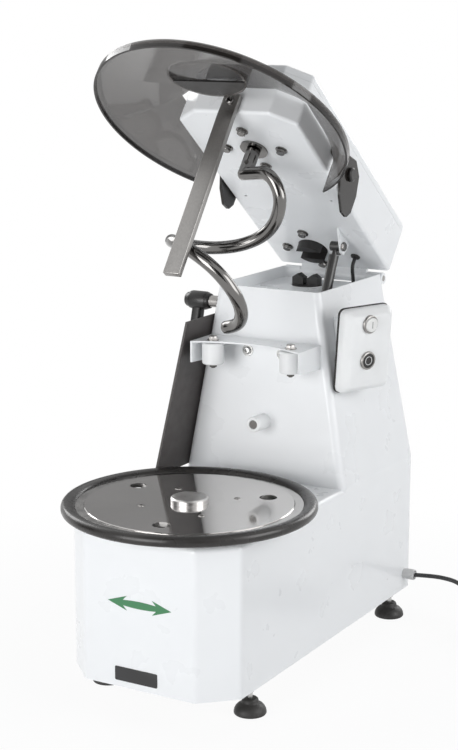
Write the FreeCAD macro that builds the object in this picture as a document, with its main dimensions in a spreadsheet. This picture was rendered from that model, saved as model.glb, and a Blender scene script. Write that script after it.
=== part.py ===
import FreeCAD, Part
import math
import os
import re
import Sketcher
from FreeCAD import Rotation, Vector

# Spiral dough mixer with a tilting head, in its raised pose, bowl lifted off.
# World frame: +Z up, front towards -Y, origin on the floor at the middle of the machine.
# Head frame: origin on the tilt axis, -Y along the head towards its nose, -Z out of its underside.

os.makedirs("parts", exist_ok=True)
doc = FreeCAD.newDocument("SpiralMixer")

SIZES = {
    # base box, column and tray
    "base_width": 290, "base_length": 632, "base_height": 232.5, "ground_clearance": 46,
    "front_y": -311, "bevel_width": 50, "bevel_depth": 48, "base_bend": 12, "fold_bend": 9,
    "sheet": 2, "column_height": 306.7, "column_setback": 367.4, "column_front_lean": 13,
    "column_rear_lean": 23, "column_top_width": 182.6, "tray_depth": 19.2,
    "bottom_plate_thick": 3, "panel_gap": 0.3,
    # feet
    "foot_x": 126, "foot_front_y": -205, "foot_rear_y": 277, "pad_radius": 24.5, "pad_height": 25,
    "stud_radius": 4, "foot_nut_radius": 6.5,
    # tilt axis and head box
    "hinge_y": 304, "hinge_z": 576, "open_angle": 38.3, "knuckle_radius": 9.5, "hinge_pin_radius": 5,
    "barrel_length": 122, "hinge_side_gap": 0.5, "pin_gap": 0.1, "head_width": 206, "head_rear": 6,
    "head_nose": 457, "nose_bevel_width": 38, "nose_bevel_depth": 27, "head_height": 90,
    "head_offset": 9.7, "head_bend": 8, "head_fold": 5.5, "cover_depth": 14, "cover_bend": 6,
    # turntable
    "bowl_y": -168, "table_z": 295.7, "disc_radius": 158, "disc_thick": 3, "pan_radius": 171,
    "pan_thick": 4, "ring_radius": 192.5, "ring_height": 16, "ring_bend": 5,
    "spigot_radius": 28.5, "spigot_height": 9, "drive_hole_radius": 13.5, "drive_hole_circle": 121,
    "drive_hole_count": 3, "drive_hole_angle": 42, "table_screw_circle": 74,
    "bowl_shaft_radius": 15, "bowl_hub_radius": 42, "running_gap": 0.1,
    # drive in the base and column
    "drive_x": -17, "clutch_reach": 67.5, "drive_shaft_radius": 12, "belt_z": 75, "belt_width": 24,
    "belt_thick": 6, "drive_pulley_radius": 26, "bowl_pulley_radius": 104, "worm_offset": 63,
    "gearbox_half": 60, "gearbox_z": 200, "gearbox_half_height": 48, "gearbox_leg": 10,
    "motor_radius": 62, "motor_length": 200,
    # jaw clutch
    "clutch_radius": 25, "clutch_sink": 14, "jaw_height": 11, "jaw_roof": 7, "jaw_half_width": 8,
    "jaw_inner": 3.5, "jaw_gap": 1, "jaw_lash": 2.5, "clutch_drop": 15,
    # head drive
    "spiral_setback": 95, "flange_corner": 56, "flange_thick": 8, "flange_hub": 32,
    "flange_hub_rise": 14, "flange_bolt_circle": 47.5, "input_shaft_radius": 10,
    "spiral_shaft_radius": 12.5, "head_pulley_radius": 38, "head_belt_width": 20,
    "head_belt_rise": 40, "collar_radius": 22, "collar_thick": 3, "sleeve_radius": 11,
    # kneading hook and breaker bar
    "hook_radius": 70, "rod_radius": 10, "hook_start_depth": 36, "hook_depth": 264,
    "hook_tail": 13, "hook_elbow": 50, "hook_drop": 54, "hook_lift": 14,
    "bar_width": 27, "bar_thick": 10, "bar_top": 36, "bar_bottom": 266, "bar_lean": 2.9, "bar_bolt_rise": 24,
    # shield
    "shield_reach": 468, "shield_radius": 196.3, "shield_thick": 3, "shield_drop": 13,
    "skirt_height": 12.5, "shield_crown": 50, "lip_height": 13, "shield_rear": 306, "cutout_gap": 4,
    "cutout_nose": 10, "pivot_reach": 244.5, "pivot_rise": 45.7, "ear_gap": 1, "ear_thick": 4,
    "ear_rounding": 6, "pivot_radius": 6, "port_reach": 542, "port_half_width": 64,
    "port_half_depth": 44, "port_low": 9, "flap_edge": 8, "flap_thick": 3,
    # gas spring
    "gas_x": 46, "gas_reach": 107, "gas_drop": 6, "gas_foot_y": 100, "gas_foot_z": 385,
    "gas_tube_radius": 8, "gas_rod_radius": 4, "gas_tube_start": 16, "gas_tube_end": 150,
    "gas_wall": 1.5, "gas_engaged": 50, "gas_bolt_radius": 4, "gas_eye_radius": 8,
    "gas_lug_x": 55, "gas_lug_thick": 3, "gas_bolt_head": 5, "gas_cheek_clearance": 7,
    # rollers and bumper on the column
    "roller_x": 69.5, "roller_y": 19, "roller_radius": 17.5, "roller_length": 34,
    "roller_z": 466.5, "roller_bolt_radius": 4, "bracket_half_width": 97, "bracket_top": 504,
    "bracket_sheet": 2.5, "bracket_depth": 38, "bowl_clearance": 189, "bumper_radius": 12.5,
    "bumper_z": 372, "bumper_reach": 36, "bumper_recess": 4, "bracket_bolt_x": 31,
    # side guard and head lock
    "guard_thick": 4, "guard_low_z": 282, "guard_high_z": 534, "guard_low_reach": 92,
    "guard_high_reach": 75, "guard_overlap": 45, "lever_y": 89, "lever_drop": 33.2, "hub_radius": 15,
    "hub_length": 46, "hub_start": 115, "arm_length": 92, "arm_width": 20, "arm_thick": 15,
    "lock_shaft_radius": 6,
    # control housing
    "control_y": 74, "control_z": 431, "control_x": 121, "control_turn": 22, "control_width": 103,
    "control_height": 124, "gasket_thick": 2.5, "control_depth": 24, "control_bevel": 9,
    "control_corner": 12, "control_inset": 19,
    "button_radius": 10.5, "bezel_radius": 13.5, "bezel_height": 4, "button_gap": 0.3,
    "start_height": 93, "stop_height": 35,
    # cables
    "gland_y": 293.7, "gland_z": 73.5, "gland_radius": 9, "gland_length": 20, "cord_radius": 3.6,
    "head_cable_radius": 3, "cable_x": 55, "cable_setback": 38, "grommet_reach": 50,
    "grommet_radius": 8, "coil_x": 336, "coil_y": 243.4, "coil_radius": 40, "plug_radius": 18.5,
    # screws
    "screw_radius": 2.5, "screw_head_radius": 5, "screw_head_height": 3, "bolt_radius": 4,
    "bolt_head_radius": 7.5, "bolt_head_height": 5.5, "washer_radius": 9.5, "washer_thick": 1.5,
}

sheet = doc.addObject("Spreadsheet::Sheet", "Sizes")
for row, (alias, value) in enumerate(SIZES.items(), start=1):
    sheet.set(f"A{row}", alias)
    sheet.set(f"B{row}", str(value))
    sheet.setAlias(f"B{row}", alias)
doc.recompute()


# ---------------------------------------------------------------- binding to the sheet

def linked(text):
    """An expression with every alias in it pointed at the sheet."""
    def point(match):
        word = match.group(0)
        return f"Sizes.{word}" if word in SIZES else word
    return re.sub(r"[a-z_][a-z_0-9]*", point, str(text))


def number(text):
    """The present value of an expression."""
    return float(sheet.evalExpression(linked(text)))


def bind(thing, **settings):
    """Bind properties of an object to expressions."""
    for name, text in settings.items():
        thing.setExpression(name, linked(text))
    return thing


def place(thing, at, rotation=None):
    """Put an object at a bound position with a fixed rotation."""
    thing.Placement = FreeCAD.Placement(Vector(), rotation or Rotation())
    for axis, text in zip("xyz", at):
        thing.setExpression(f"Placement.Base.{axis}", linked(text))
    return thing


# ---------------------------------------------------------------- named positions

HALF = "(base_width / 2)"
REAR_Y = "(front_y + base_length)"
FOLD_Z = "(ground_clearance + base_height)"
RIM_Z = f"({FOLD_Z} + column_height)"
TRAY_Z = f"({RIM_Z} - tray_depth)"
COLUMN_Y = "(front_y + column_setback)"
WALL_SLOPE = "((base_width - column_top_width) / 2 / column_height)"
FRONT_SLOPE = "(column_front_lean / column_height)"
REAR_SLOPE = "(column_rear_lean / column_height)"
DRIVE_Y = "(hinge_y - clutch_reach)"
CABLE_Y = "(hinge_y - cable_setback)"
LEVER_Z = f"({RIM_Z} - lever_drop)"
SPIRAL_REACH = "(head_nose - spiral_setback)"
PAN_Z = "(table_z - disc_thick - pan_thick)"
UNDERSIDE = "head_offset"
FLOOR_TOP = "(head_offset + sheet)"


def wall_x(height):
    """Half the column's outer width at a height."""
    return f"({HALF} - {WALL_SLOPE} * (({height}) - {FOLD_Z}))"


def front_face(height):
    """The column's outer front face at a height."""
    return f"({COLUMN_Y} + {FRONT_SLOPE} * (({height}) - {FOLD_Z}))"


def rear_face(height):
    """The column's outer rear face at a height."""
    return f"({REAR_Y} - {REAR_SLOPE} * (({height}) - {FOLD_Z}))"


# ---------------------------------------------------------------- making solids

AXES = {"x": Rotation(Vector(0, 1, 0), 90), "y": Rotation(Vector(1, 0, 0), -90), "z": Rotation()}


def block(name, x, y, z):
    """A box between two faces on each axis."""
    solid = doc.addObject("Part::Box", name)
    bind(solid, Length=f"({x[1]}) - ({x[0]})", Width=f"({y[1]}) - ({y[0]})",
         Height=f"({z[1]}) - ({z[0]})")
    return place(solid, (x[0], y[0], z[0]))


def rod(name, radius, start, length, axis="z"):
    """A cylinder that starts at a point and runs along an axis."""
    solid = doc.addObject("Part::Cylinder", name)
    bind(solid, Radius=radius, Height=length)
    return place(solid, start, AXES[axis])


def cone(name, low, high, start, length, axis="z"):
    """A cone frustum that starts at a point and runs along an axis."""
    solid = doc.addObject("Part::Cone", name)
    bind(solid, Radius1=low, Radius2=high, Height=length)
    return place(solid, start, AXES[axis])


def hexagon(name, radius, start, length, axis="z"):
    """A hexagonal prism that starts at a point and runs along an axis."""
    solid = doc.addObject("Part::Prism", name)
    solid.Polygon = 6
    bind(solid, Circumradius=radius, Height=length)
    return place(solid, start, AXES[axis])


def fuse(name, *pieces):
    joined = doc.addObject("Part::MultiFuse", name)
    joined.Shapes = list(pieces)
    joined.Refine = True
    return joined


def cut(name, base, *tools):
    """A solid less one or more tools."""
    result = doc.addObject("Part::Cut", name)
    result.Base = base
    result.Tool = tools[0] if len(tools) == 1 else fuse(name + "_tools", *tools)
    result.Refine = True
    return result


def group(name, *pieces):
    """Separate solids that share one node."""
    bundle = doc.addObject("Part::Compound", name)
    bundle.Links = list(pieces)
    return bundle


def sketch_on(body, plane, lift=None):
    """An empty sketch in one of the body's own planes."""
    drawing = body.newObject("Sketcher::SketchObject", body.Name + "_outline")
    role = {"xy": "XY_Plane", "xz": "XZ_Plane", "yz": "YZ_Plane"}[plane]
    drawing.AttachmentSupport = [(next(f for f in body.Origin.OriginFeatures if f.Role == role), "")]
    drawing.MapMode = "FlatFace"
    if lift is not None:
        drawing.setExpression("AttachmentOffset.Base.z", linked(lift))
    return drawing


def pin_corner(drawing, line, end, u, v):
    """Bind one end of a line in a sketch to a place in its plane."""
    across = drawing.addConstraint(Sketcher.Constraint("DistanceX", -1, 1, line, end, number(u)))
    along = drawing.addConstraint(Sketcher.Constraint("DistanceY", -1, 1, line, end, number(v)))
    drawing.setExpression(f"Constraints[{across}]", linked(u))
    drawing.setExpression(f"Constraints[{along}]", linked(v))


def sketch(body, plane, points, lift=None):
    """A closed outline in one of the body's own planes, each corner bound to the sheet."""
    drawing = sketch_on(body, plane, lift)
    corners = [Vector(number(u), number(v), 0) for u, v in points]
    for index, corner in enumerate(corners):
        drawing.addGeometry(Part.LineSegment(corner, corners[(index + 1) % len(corners)]), False)
    for index, (u, v) in enumerate(points):
        following = (index + 1) % len(corners)
        drawing.addConstraint(Sketcher.Constraint("Coincident", index, 2, following, 1))
        pin_corner(drawing, index, 1, u, v)
    return drawing


def pad(name, plane, points, length, lift=None, middle=False):
    """A body made by padding an outline."""
    body = doc.addObject("PartDesign::Body", name)
    outline = sketch(body, plane, points, lift)
    feature = body.newObject("PartDesign::Pad", name + "_pad")
    feature.Profile = outline
    feature.Midplane = middle
    bind(feature, Length=length)
    body.Tip = feature
    doc.recompute()
    return body


def revolve(name, points, at=("0", "0", "0"), rotation=None):
    """A body turned about its own vertical axis from (radius, height) corners."""
    body = doc.addObject("PartDesign::Body", name)
    outline = sketch(body, "xz", points)
    feature = body.newObject("PartDesign::Revolution", name + "_turn")
    feature.Profile = outline
    feature.ReferenceAxis = (outline, ["V_Axis"])
    feature.Angle = 360
    body.Tip = feature
    place(body, at, rotation)
    doc.recompute()
    return body


def dress_edges(body, kind, name, size, wanted):
    """Fillet or chamfer the edges of a body that a test picks."""
    doc.recompute()
    before = body.Tip
    edges = [f"Edge{i}" for i, edge in enumerate(before.Shape.Edges, start=1) if wanted(edge)]
    feature = body.newObject(f"PartDesign::{kind}", name)
    feature.Base = (before, edges)
    bind(feature, **{"Radius" if kind == "Fillet" else "Size": size})
    body.Tip = feature
    doc.recompute()
    return body


def round_edges(body, name, radius, wanted):
    return dress_edges(body, "Fillet", name, radius, wanted)


def bevel_face(body, name, size, axis, level):
    """Chamfer the edges that lie in a plane across an axis."""
    place_along = number(level)
    return dress_edges(body, "Chamfer", name, size, lambda edge: all(
        abs(getattr(v, axis) - place_along) < 0.01 for v in edge.Vertexes))


def upright(edge):
    """True for an edge that rises more than it runs."""
    start, end = edge.Vertexes[0].Point, edge.Vertexes[-1].Point
    return abs(end.z - start.z) > 0.8 * (end - start).Length > 0


def rounded_sketch(body, corners, radius, lift):
    """A rectangle with round corners in plan: (low x, low y) and (high x, high y) are bound."""
    (low_x, low_y), (high_x, high_y) = corners
    drawing = sketch_on(body, "xy", lift)
    radius = f"({radius})"
    ends = [((f"{low_x} + {radius}", low_y), (f"{high_x} - {radius}", low_y)),
            ((high_x, f"{low_y} + {radius}"), (high_x, f"{high_y} - {radius}")),
            ((f"{high_x} - {radius}", high_y), (f"{low_x} + {radius}", high_y)),
            ((low_x, f"{high_y} - {radius}"), (low_x, f"{low_y} + {radius}"))]
    spots = [[Vector(number(u), number(v), 0) for u, v in pair] for pair in ends]
    bend = number(radius)
    for start, end in spots:
        drawing.addGeometry(Part.LineSegment(start, end), False)
    for index, (start, end) in enumerate(spots):
        after = spots[(index + 1) % 4][0]
        centre = end + Vector(-(end - start).y, (end - start).x, 0).normalize() * bend
        first = math.atan2(end.y - centre.y, end.x - centre.x)
        last = math.atan2(after.y - centre.y, after.x - centre.x)
        circle = Part.Circle(centre, Vector(0, 0, 1), bend)
        drawing.addGeometry(Part.ArcOfCircle(circle, first, last), False)
    for index, pair in enumerate(ends):
        following, arc = (index + 1) % 4, 4 + index
        for corner, (u, v) in zip((1, 2), pair):
            pin_corner(drawing, index, corner, u, v)
        drawing.addConstraint(Sketcher.Constraint("Coincident", arc, 1, index, 2))
        drawing.addConstraint(Sketcher.Constraint("Coincident", arc, 2, following, 1))
        bound = drawing.addConstraint(Sketcher.Constraint("Radius", arc, bend))
        drawing.setExpression(f"Constraints[{bound}]", linked(radius))
    return drawing


def rounded_pad(name, corners, radius, low, high):
    """An upright block with rounded corners between two heights."""
    body = doc.addObject("PartDesign::Body", name)
    feature = body.newObject("PartDesign::Pad", name + "_pad")
    feature.Profile = rounded_sketch(body, corners, radius, low)
    bind(feature, Length=f"({high}) - ({low})")
    body.Tip = feature
    doc.recompute()
    return body


def loft(name, bottom, top):
    """A ruled body between two outlines, given as functions that draw them in the body."""
    body = doc.addObject("PartDesign::Body", name)
    low, high = bottom(body), top(body)
    feature = body.newObject("PartDesign::AdditiveLoft", name + "_loft")
    feature.Profile = low
    feature.Sections = [high]
    feature.Ruled = True
    body.Tip = feature
    doc.recompute()
    return body


def solid(name, shape):
    """A sub-part whose shape comes from Part's own functions."""
    feature = doc.addObject("Part::Feature", name)
    feature.Shape = shape
    return feature


def screw(name, at, turn, length, hexed=False):
    """A cap screw or a hexagon bolt: its head stands off +Z before the turn, its shank on -Z."""
    radius = "bolt_radius" if hexed else "screw_radius"
    if hexed:
        washer = rod(name + "_washer", "washer_radius", ("0", "0", "0"), "washer_thick")
        top = hexagon(name + "_head", "bolt_head_radius", ("0", "0", "washer_thick"),
                      "bolt_head_height")
        tops = [washer, top]
    else:
        tops = [rod(name + "_head", "screw_head_radius", ("0", "0", "0"), "screw_head_height")]
    shank = rod(name + "_shank", radius, ("0", "0", f"-({length})"), length)
    return place(fuse(name, *tops, shank), at, turn)


def screw_hole(name, at, turn, length, hexed=False):
    """The clearance hole for a screw or bolt, along both sides of its seat."""
    radius = "bolt_radius + pin_gap" if hexed else "screw_radius + pin_gap"
    tool = rod(name, radius, ("0", "0", f"-({length})"), f"2 * ({length})")
    return place(group(name + "_tool", tool), at, turn)


NODES = []


def node(label, thing):
    """Name a finished sub-part after the file it is written to."""
    thing.Label = label
    NODES.append(thing)
    return thing


def head_node(label, *pieces):
    """A sub-part that is modelled in the head frame and stands in the raised head."""
    bundle = group(label, *pieces)
    bundle.Placement = FreeCAD.Placement(Vector(), Rotation(Vector(-1, 0, 0), 30))
    bind(bundle, **{"Placement.Base.y": "hinge_y", "Placement.Base.z": "hinge_z",
                    "Placement.Rotation.Angle": "open_angle * 1 deg"})
    return node(label, bundle)


TO_FRONT = Rotation(Vector(1, 0, 0), 90)
TO_REAR = Rotation(Vector(1, 0, 0), -90)
TO_LEFT = Rotation(Vector(0, 1, 0), -90)
TO_RIGHT = Rotation(Vector(0, 1, 0), 90)
DOWNWARD = Rotation(Vector(1, 0, 0), 180)


# ---------------------------------------------------------------- folded body

BEVEL_SHARE = "tan(22.5)"


def base_outline(inset):
    """The base box in plan, with both front corners bevelled, inset by a wall."""
    front = f"(front_y + ({inset}))"
    rear = f"({REAR_Y} - ({inset}))"
    side = f"({HALF} - ({inset}))"
    nose = f"({HALF} - bevel_width - ({inset}) * {BEVEL_SHARE})"
    shoulder = f"(front_y + bevel_depth + ({inset}) * {BEVEL_SHARE})"
    return [(f"-{nose}", front), (nose, front), (side, shoulder), (side, rear),
            (f"-{side}", rear), (f"-{side}", shoulder)]


def column_corners(height, inset):
    """The column's opposite corners in plan at a height, inset by a wall."""
    side = f"({wall_x(height)} - ({inset}))"
    return ((f"-{side}", f"({front_face(height)} + ({inset}))"),
            (side, f"({rear_face(height)} - ({inset}))"))


def base_box(name, inset, low, high):
    """The base box with rounded upright corners and a rounded top edge."""
    body = pad(name, "xy", base_outline(inset), f"({high}) - ({low})", low)
    round_edges(body, name + "_bends", f"base_bend - ({inset})", upright)
    top = number(high)
    return round_edges(body, name + "_fold", f"fold_bend - ({inset})",
                       lambda edge: all(abs(v.Z - top) < 0.01 for v in edge.Vertexes))


def column(name, inset, high):
    """The tapered column on a short straight foot that stands in the base box."""
    bend = f"base_bend - ({inset})"
    foot = rounded_pad(name + "_foot", column_corners(FOLD_Z, inset), bend,
                       f"{FOLD_Z} - fold_bend", FOLD_Z)
    taper = loft(name + "_taper",
                 lambda body: rounded_sketch(body, column_corners(FOLD_Z, inset), bend, FOLD_Z),
                 lambda body: rounded_sketch(body, column_corners(high, inset), bend, high))
    return fuse(name, foot, taper)


column_outside = column("column_outside", "0", RIM_Z)
outside = fuse("body_outside", base_box("base_outside", "0", "ground_clearance", FOLD_Z),
               column_outside)
column_room = cut("column_room", column("column_inside", "sheet", f"({RIM_Z} + sheet)"),
                  block("tray_floor", (f"-{HALF}", HALF), (COLUMN_Y, REAR_Y),
                        (f"{TRAY_Z} - sheet", TRAY_Z)))
inside = fuse("body_inside",
              base_box("base_inside", "sheet", "(ground_clearance - sheet)", f"({FOLD_Z} - sheet)"),
              column_room)

knuckles = []
for side, name in ((1, "knuckle_right"), (-1, "knuckle_left")):
    inner = f"{side} * (barrel_length / 2 + hinge_side_gap)"
    knuckle = rod(name, "knuckle_radius", (inner, "hinge_y", "hinge_z"),
                  "column_top_width / 2 - barrel_length / 2 - hinge_side_gap", "x")
    if side < 0:
        knuckle.setExpression("Placement.Base.x", linked("-column_top_width / 2"))
    knuckles.append(knuckle)

guard_heights = ("guard_low_z + 40", "(guard_low_z + guard_high_z) / 2", "guard_high_z - 25")
cover_low_z, cover_high_z = "ground_clearance + 34", f"{FOLD_Z} - 30"
cover_half = "(base_width / 2 - 40)"
cover_screws = [(f"{sign} * ({cover_half} - 6)", REAR_Y, height) for sign in (1, -1)
                for height in (f"{cover_low_z} + 8", f"{cover_high_z} - 8")]
guard_screws = [(f"-({wall_x(height)} + guard_thick)",
                 f"{front_face(height)} + guard_overlap / 2", height) for height in guard_heights]
bracket_bolts = [(f"{sign} * bracket_bolt_x", f"{front_face('bracket_top - 20')} - bracket_sheet",
                  "bracket_top - 20") for sign in (1, -1)]
feet = [(f"{sign} * foot_x", y) for sign in (1, -1) for y in ("foot_front_y", "foot_rear_y")]
WALL_TILT = Rotation(Vector(0, 1, 0), -90 + math.degrees(math.atan(number(WALL_SLOPE))))
FRONT_TILT = Rotation(Vector(1, 0, 0), 90 - math.degrees(math.atan(number(FRONT_SLOPE))))

openings = [
    block("service_opening", (f"-({cover_half} - 14)", f"{cover_half} - 14"),
          (f"{REAR_Y} - 2 * sheet", f"{REAR_Y} + sheet"),
          (f"{cover_low_z} + 16", f"{cover_high_z} - 16")),
    block("barrel_notch", ("-(barrel_length / 2 + hinge_side_gap)",
                           "barrel_length / 2 + hinge_side_gap"),
          ("hinge_y - knuckle_radius - 2", "hinge_y + 2 * knuckle_radius"),
          (TRAY_Z, f"{RIM_Z} + 1")),
    rod("bowl_shaft_hole", "bowl_shaft_radius + 6", ("0", "bowl_y", f"{FOLD_Z} - 9"), "18"),
    rod("clutch_hole", "clutch_radius + jaw_gap", ("drive_x", DRIVE_Y, f"{TRAY_Z} - 9"), "18"),
    block("gas_slot", ("gas_x - gas_tube_radius - 3", "gas_lug_x + gas_lug_thick + gas_bolt_head + 3"),
          ("gas_foot_y + 70", "gas_foot_y + 122"), (f"{TRAY_Z} - 9", f"{TRAY_Z} + 9")),
    rod("cable_hole", "head_cable_radius + 2", ("cable_x", CABLE_Y, f"{TRAY_Z} - 9"), "18"),
    rod("gland_hole", "cord_radius + 2", (f"{HALF} - 9", "gland_y", "gland_z"), "18", "x"),
    rod("control_hole", "8", (f"{HALF} - 70", "control_y + 35", "control_z + 60"), "90", "x"),
    rod("lock_hole", "lock_shaft_radius + pin_gap", ("-hub_start", "lever_y", LEVER_Z), "50", "x"),
    screw_hole("bumper_hole", ("0", front_face("bumper_z"), "bumper_z"), FRONT_TILT, "12"),
]
for index, at in enumerate(cover_screws):
    openings.append(screw_hole(f"cover_hole_{index}", at, TO_REAR, "8"))
for index, at in enumerate(guard_screws):
    openings.append(screw_hole(f"guard_hole_{index}", at, WALL_TILT, "10"))
for index, at in enumerate(bracket_bolts):
    openings.append(screw_hole(f"bracket_hole_{index}", at, FRONT_TILT, "14", hexed=True))

shell = cut("body_blank", outside, inside)
hinged = fuse("body_hinged", shell, *knuckles)
pin_bore = rod("knuckle_bore", "hinge_pin_radius + pin_gap",
               ("-base_width / 2", "hinge_y", "hinge_z"), "base_width", "x")
node("body_shell", cut("body_shell", hinged, pin_bore, *openings))

plate_inset = "(sheet + panel_gap)"
plate = round_edges(pad("bottom_blank", "xy", base_outline(plate_inset), "bottom_plate_thick",
                        "ground_clearance"), "bottom_bends", f"base_bend - {plate_inset}", upright)
stud_holes = [rod(f"stud_hole_{i}", "stud_radius + pin_gap", (x, y, "ground_clearance - 5"), "15")
              for i, (x, y) in enumerate(feet)]
node("bottom_plate", cut("bottom_plate", plate, *stud_holes))

pad_profile = [("0", "0"), ("pad_radius", "0"), ("pad_radius", "7"), ("pad_radius - 3", "13"),
               ("pad_radius - 10", "pad_height - 4"), ("stud_radius + 6", "pad_height"),
               ("0", "pad_height")]
pads, studs = [], []
for index, (x, y) in enumerate(feet):
    pads.append(revolve(f"foot_pad_{index}", pad_profile, (x, y, "0")))
    studs.append(fuse(f"foot_stud_{index}",
                      rod(f"stud_{index}", "stud_radius", (x, y, "pad_height"),
                          "ground_clearance - pad_height + bottom_plate_thick + 12"),
                      hexagon(f"stud_nut_{index}", "foot_nut_radius",
                              (x, y, "ground_clearance - 12"), "12"),
                      hexagon(f"lock_nut_{index}", "foot_nut_radius",
                              (x, y, "ground_clearance + bottom_plate_thick"), "6")))
node("foot_pads", group("foot_pads", *pads))
node("foot_studs", group("foot_studs", *studs))

cover_plate = block("cover_plate", (f"-{cover_half}", cover_half), (REAR_Y, f"{REAR_Y} + sheet"),
                    (cover_low_z, cover_high_z))
louvres = [block(f"louvre_{row}", ("-60", "60"), (f"{REAR_Y} - 1", f"{REAR_Y} + 2 * sheet"),
                 (f"{cover_low_z} + {38 + 16 * row}", f"{cover_low_z} + {44 + 16 * row}"))
           for row in range(6)]
cover_holes = [screw_hole(f"plate_hole_{i}", at, TO_REAR, "8") for i, at in enumerate(cover_screws)]
node("rear_cover", cut("rear_cover", cover_plate, *louvres, *cover_holes))


# ---------------------------------------------------------------- turntable and its drive

PAN_TOP = "(table_z - disc_thick)"
disc_round = revolve("disc_round", [("0", PAN_TOP), ("disc_radius", PAN_TOP),
                                    ("disc_radius", "table_z - 1"), ("disc_radius - 1", "table_z"),
                                    ("0", "table_z")], ("0", "bowl_y", "0"))


def around(count, circle, first, centre_y="bowl_y"):
    """Bound positions spaced round a vertical axis on the machine's middle plane."""
    return [(f"({circle}) * cos({first} + {360 * i / count})",
             f"{centre_y} + ({circle}) * sin({first} + {360 * i / count})") for i in range(count)]


drive_holes = [rod(f"drive_hole_{i}", "drive_hole_radius", (x, y, "table_z - 15"), "30")
               for i, (x, y) in enumerate(around(SIZES["drive_hole_count"], "drive_hole_circle",
                                                 "drive_hole_angle"))]
table_screws = [(x, y, "table_z") for x, y in around(4, "table_screw_circle", "45")]
table_holes = [screw_hole(f"table_hole_{i}", at, None, "10") for i, at in enumerate(table_screws)]
hub_hole = rod("disc_bore", "bowl_shaft_radius + pin_gap", ("0", "bowl_y", "table_z - 20"), "40")
node("turntable_disc", cut("turntable_disc", disc_round, hub_hole, *drive_holes, *table_holes))

pan_round = revolve("pan_round", [
    ("0", f"{PAN_Z} - 6"), ("bowl_hub_radius", f"{PAN_Z} - 6"), ("bowl_hub_radius", PAN_Z),
    ("pan_radius", PAN_Z), ("pan_radius", f"{PAN_TOP} + 1.5"),
    ("disc_radius + panel_gap", f"{PAN_TOP} + 1.5"),
    ("disc_radius + panel_gap", PAN_TOP), ("0", PAN_TOP)], ("0", "bowl_y", "0"))
node("turntable_pan", cut("turntable_pan", pan_round, hub_hole, *drive_holes, *table_holes))

ring_low = f"({PAN_Z} - 4.5)"
ring_round = revolve("ring_round", [
    ("pan_radius", ring_low), ("ring_radius - ring_bend", ring_low),
    ("ring_radius", f"{ring_low} + ring_bend"),
    ("ring_radius", f"{ring_low} + ring_height - ring_bend"),
    ("ring_radius - ring_bend", f"{ring_low} + ring_height"),
    ("pan_radius + 3", f"{ring_low} + ring_height"), ("pan_radius", f"{ring_low} + ring_height - 3")],
    ("0", "bowl_y", "0"))
node("rubber_ring", ring_round)

heads = [screw(f"table_screw_{i}", at, None, "disc_thick + pan_thick - 1")
         for i, at in enumerate(table_screws)]
node("table_screws", group("table_screws", *heads))

SHAFT_TOP = "(table_z + spigot_height - 3)"
spigot = revolve("bowl_spigot", [
    ("bowl_shaft_radius + pin_gap", "table_z"), ("spigot_radius", "table_z"),
    ("spigot_radius", "table_z + spigot_height - 2"),
    ("spigot_radius - 2", "table_z + spigot_height"), ("0", "table_z + spigot_height"),
    ("0", SHAFT_TOP), ("bowl_shaft_radius + pin_gap", SHAFT_TOP)], ("0", "bowl_y", "0"))
node("bowl_spigot", spigot)

BOWL_SHAFT_LOW = "(belt_z - 14)"
node("bowl_shaft", rod("bowl_shaft", "bowl_shaft_radius", ("0", "bowl_y", BOWL_SHAFT_LOW),
                       f"{SHAFT_TOP} - running_gap - {BOWL_SHAFT_LOW}"))

pulley_groove = "1.5"


def pulley_profile(radius, bore):
    """A flat-belt pulley with two low flanges and a hollowed web when there is room."""
    hollow_in, hollow_out = f"({bore} + 16)", f"(({radius}) - 14)"
    points = [(bore, "0"), (f"({radius}) + 3", "0"), (f"({radius}) + 3", pulley_groove),
              (radius, pulley_groove), (radius, f"belt_width + {pulley_groove}"),
              (f"({radius}) + 3", f"belt_width + {pulley_groove}"),
              (f"({radius}) + 3", f"belt_width + 2 * {pulley_groove}")]
    if number(hollow_out) - number(hollow_in) > 10:
        points += [(hollow_out, f"belt_width + 2 * {pulley_groove}"),
                   (hollow_out, "belt_width / 2"), (hollow_in, "belt_width / 2"),
                   (hollow_in, f"belt_width + 2 * {pulley_groove}")]
    return points + [(bore, f"belt_width + 2 * {pulley_groove}")]


node("bowl_pulley", revolve("bowl_pulley", pulley_profile(
    "bowl_pulley_radius", "bowl_shaft_radius"), ("0", "bowl_y", f"belt_z - {pulley_groove}")))
node("drive_pulley", revolve("drive_pulley", pulley_profile(
    "drive_pulley_radius", "drive_shaft_radius"), ("drive_x", DRIVE_Y, f"belt_z - {pulley_groove}")))


def belt(name, first, first_radius, second, second_radius, low, width, thick):
    """An open belt round two pulleys, as a loop with straight runs tangent to both."""
    middle_one, middle_two = Vector(*first, low), Vector(*second, low)
    between = middle_two - middle_one
    heading = math.atan2(between.y, between.x)

    def loop(extra):
        lean = math.acos((first_radius - second_radius) / between.Length)
        arcs = []
        for middle, radius, start, sweep in (
                (middle_one, first_radius + extra, heading + lean, 2 * (math.pi - lean)),
                (middle_two, second_radius + extra, heading - lean, 2 * lean)):
            ends = [middle + Vector(math.cos(a), math.sin(a), 0) * radius
                    for a in (start, start + sweep / 2, start + sweep)]
            arcs.append(ends)
        edges = [Part.Arc(*arcs[0]).toShape(), Part.LineSegment(arcs[0][2], arcs[1][0]).toShape(),
                 Part.Arc(*arcs[1]).toShape(), Part.LineSegment(arcs[1][2], arcs[0][0]).toShape()]
        return Part.Face(Part.Wire(edges)).extrude(Vector(0, 0, width))

    return solid(name, loop(thick).cut(loop(number("running_gap"))))


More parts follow.
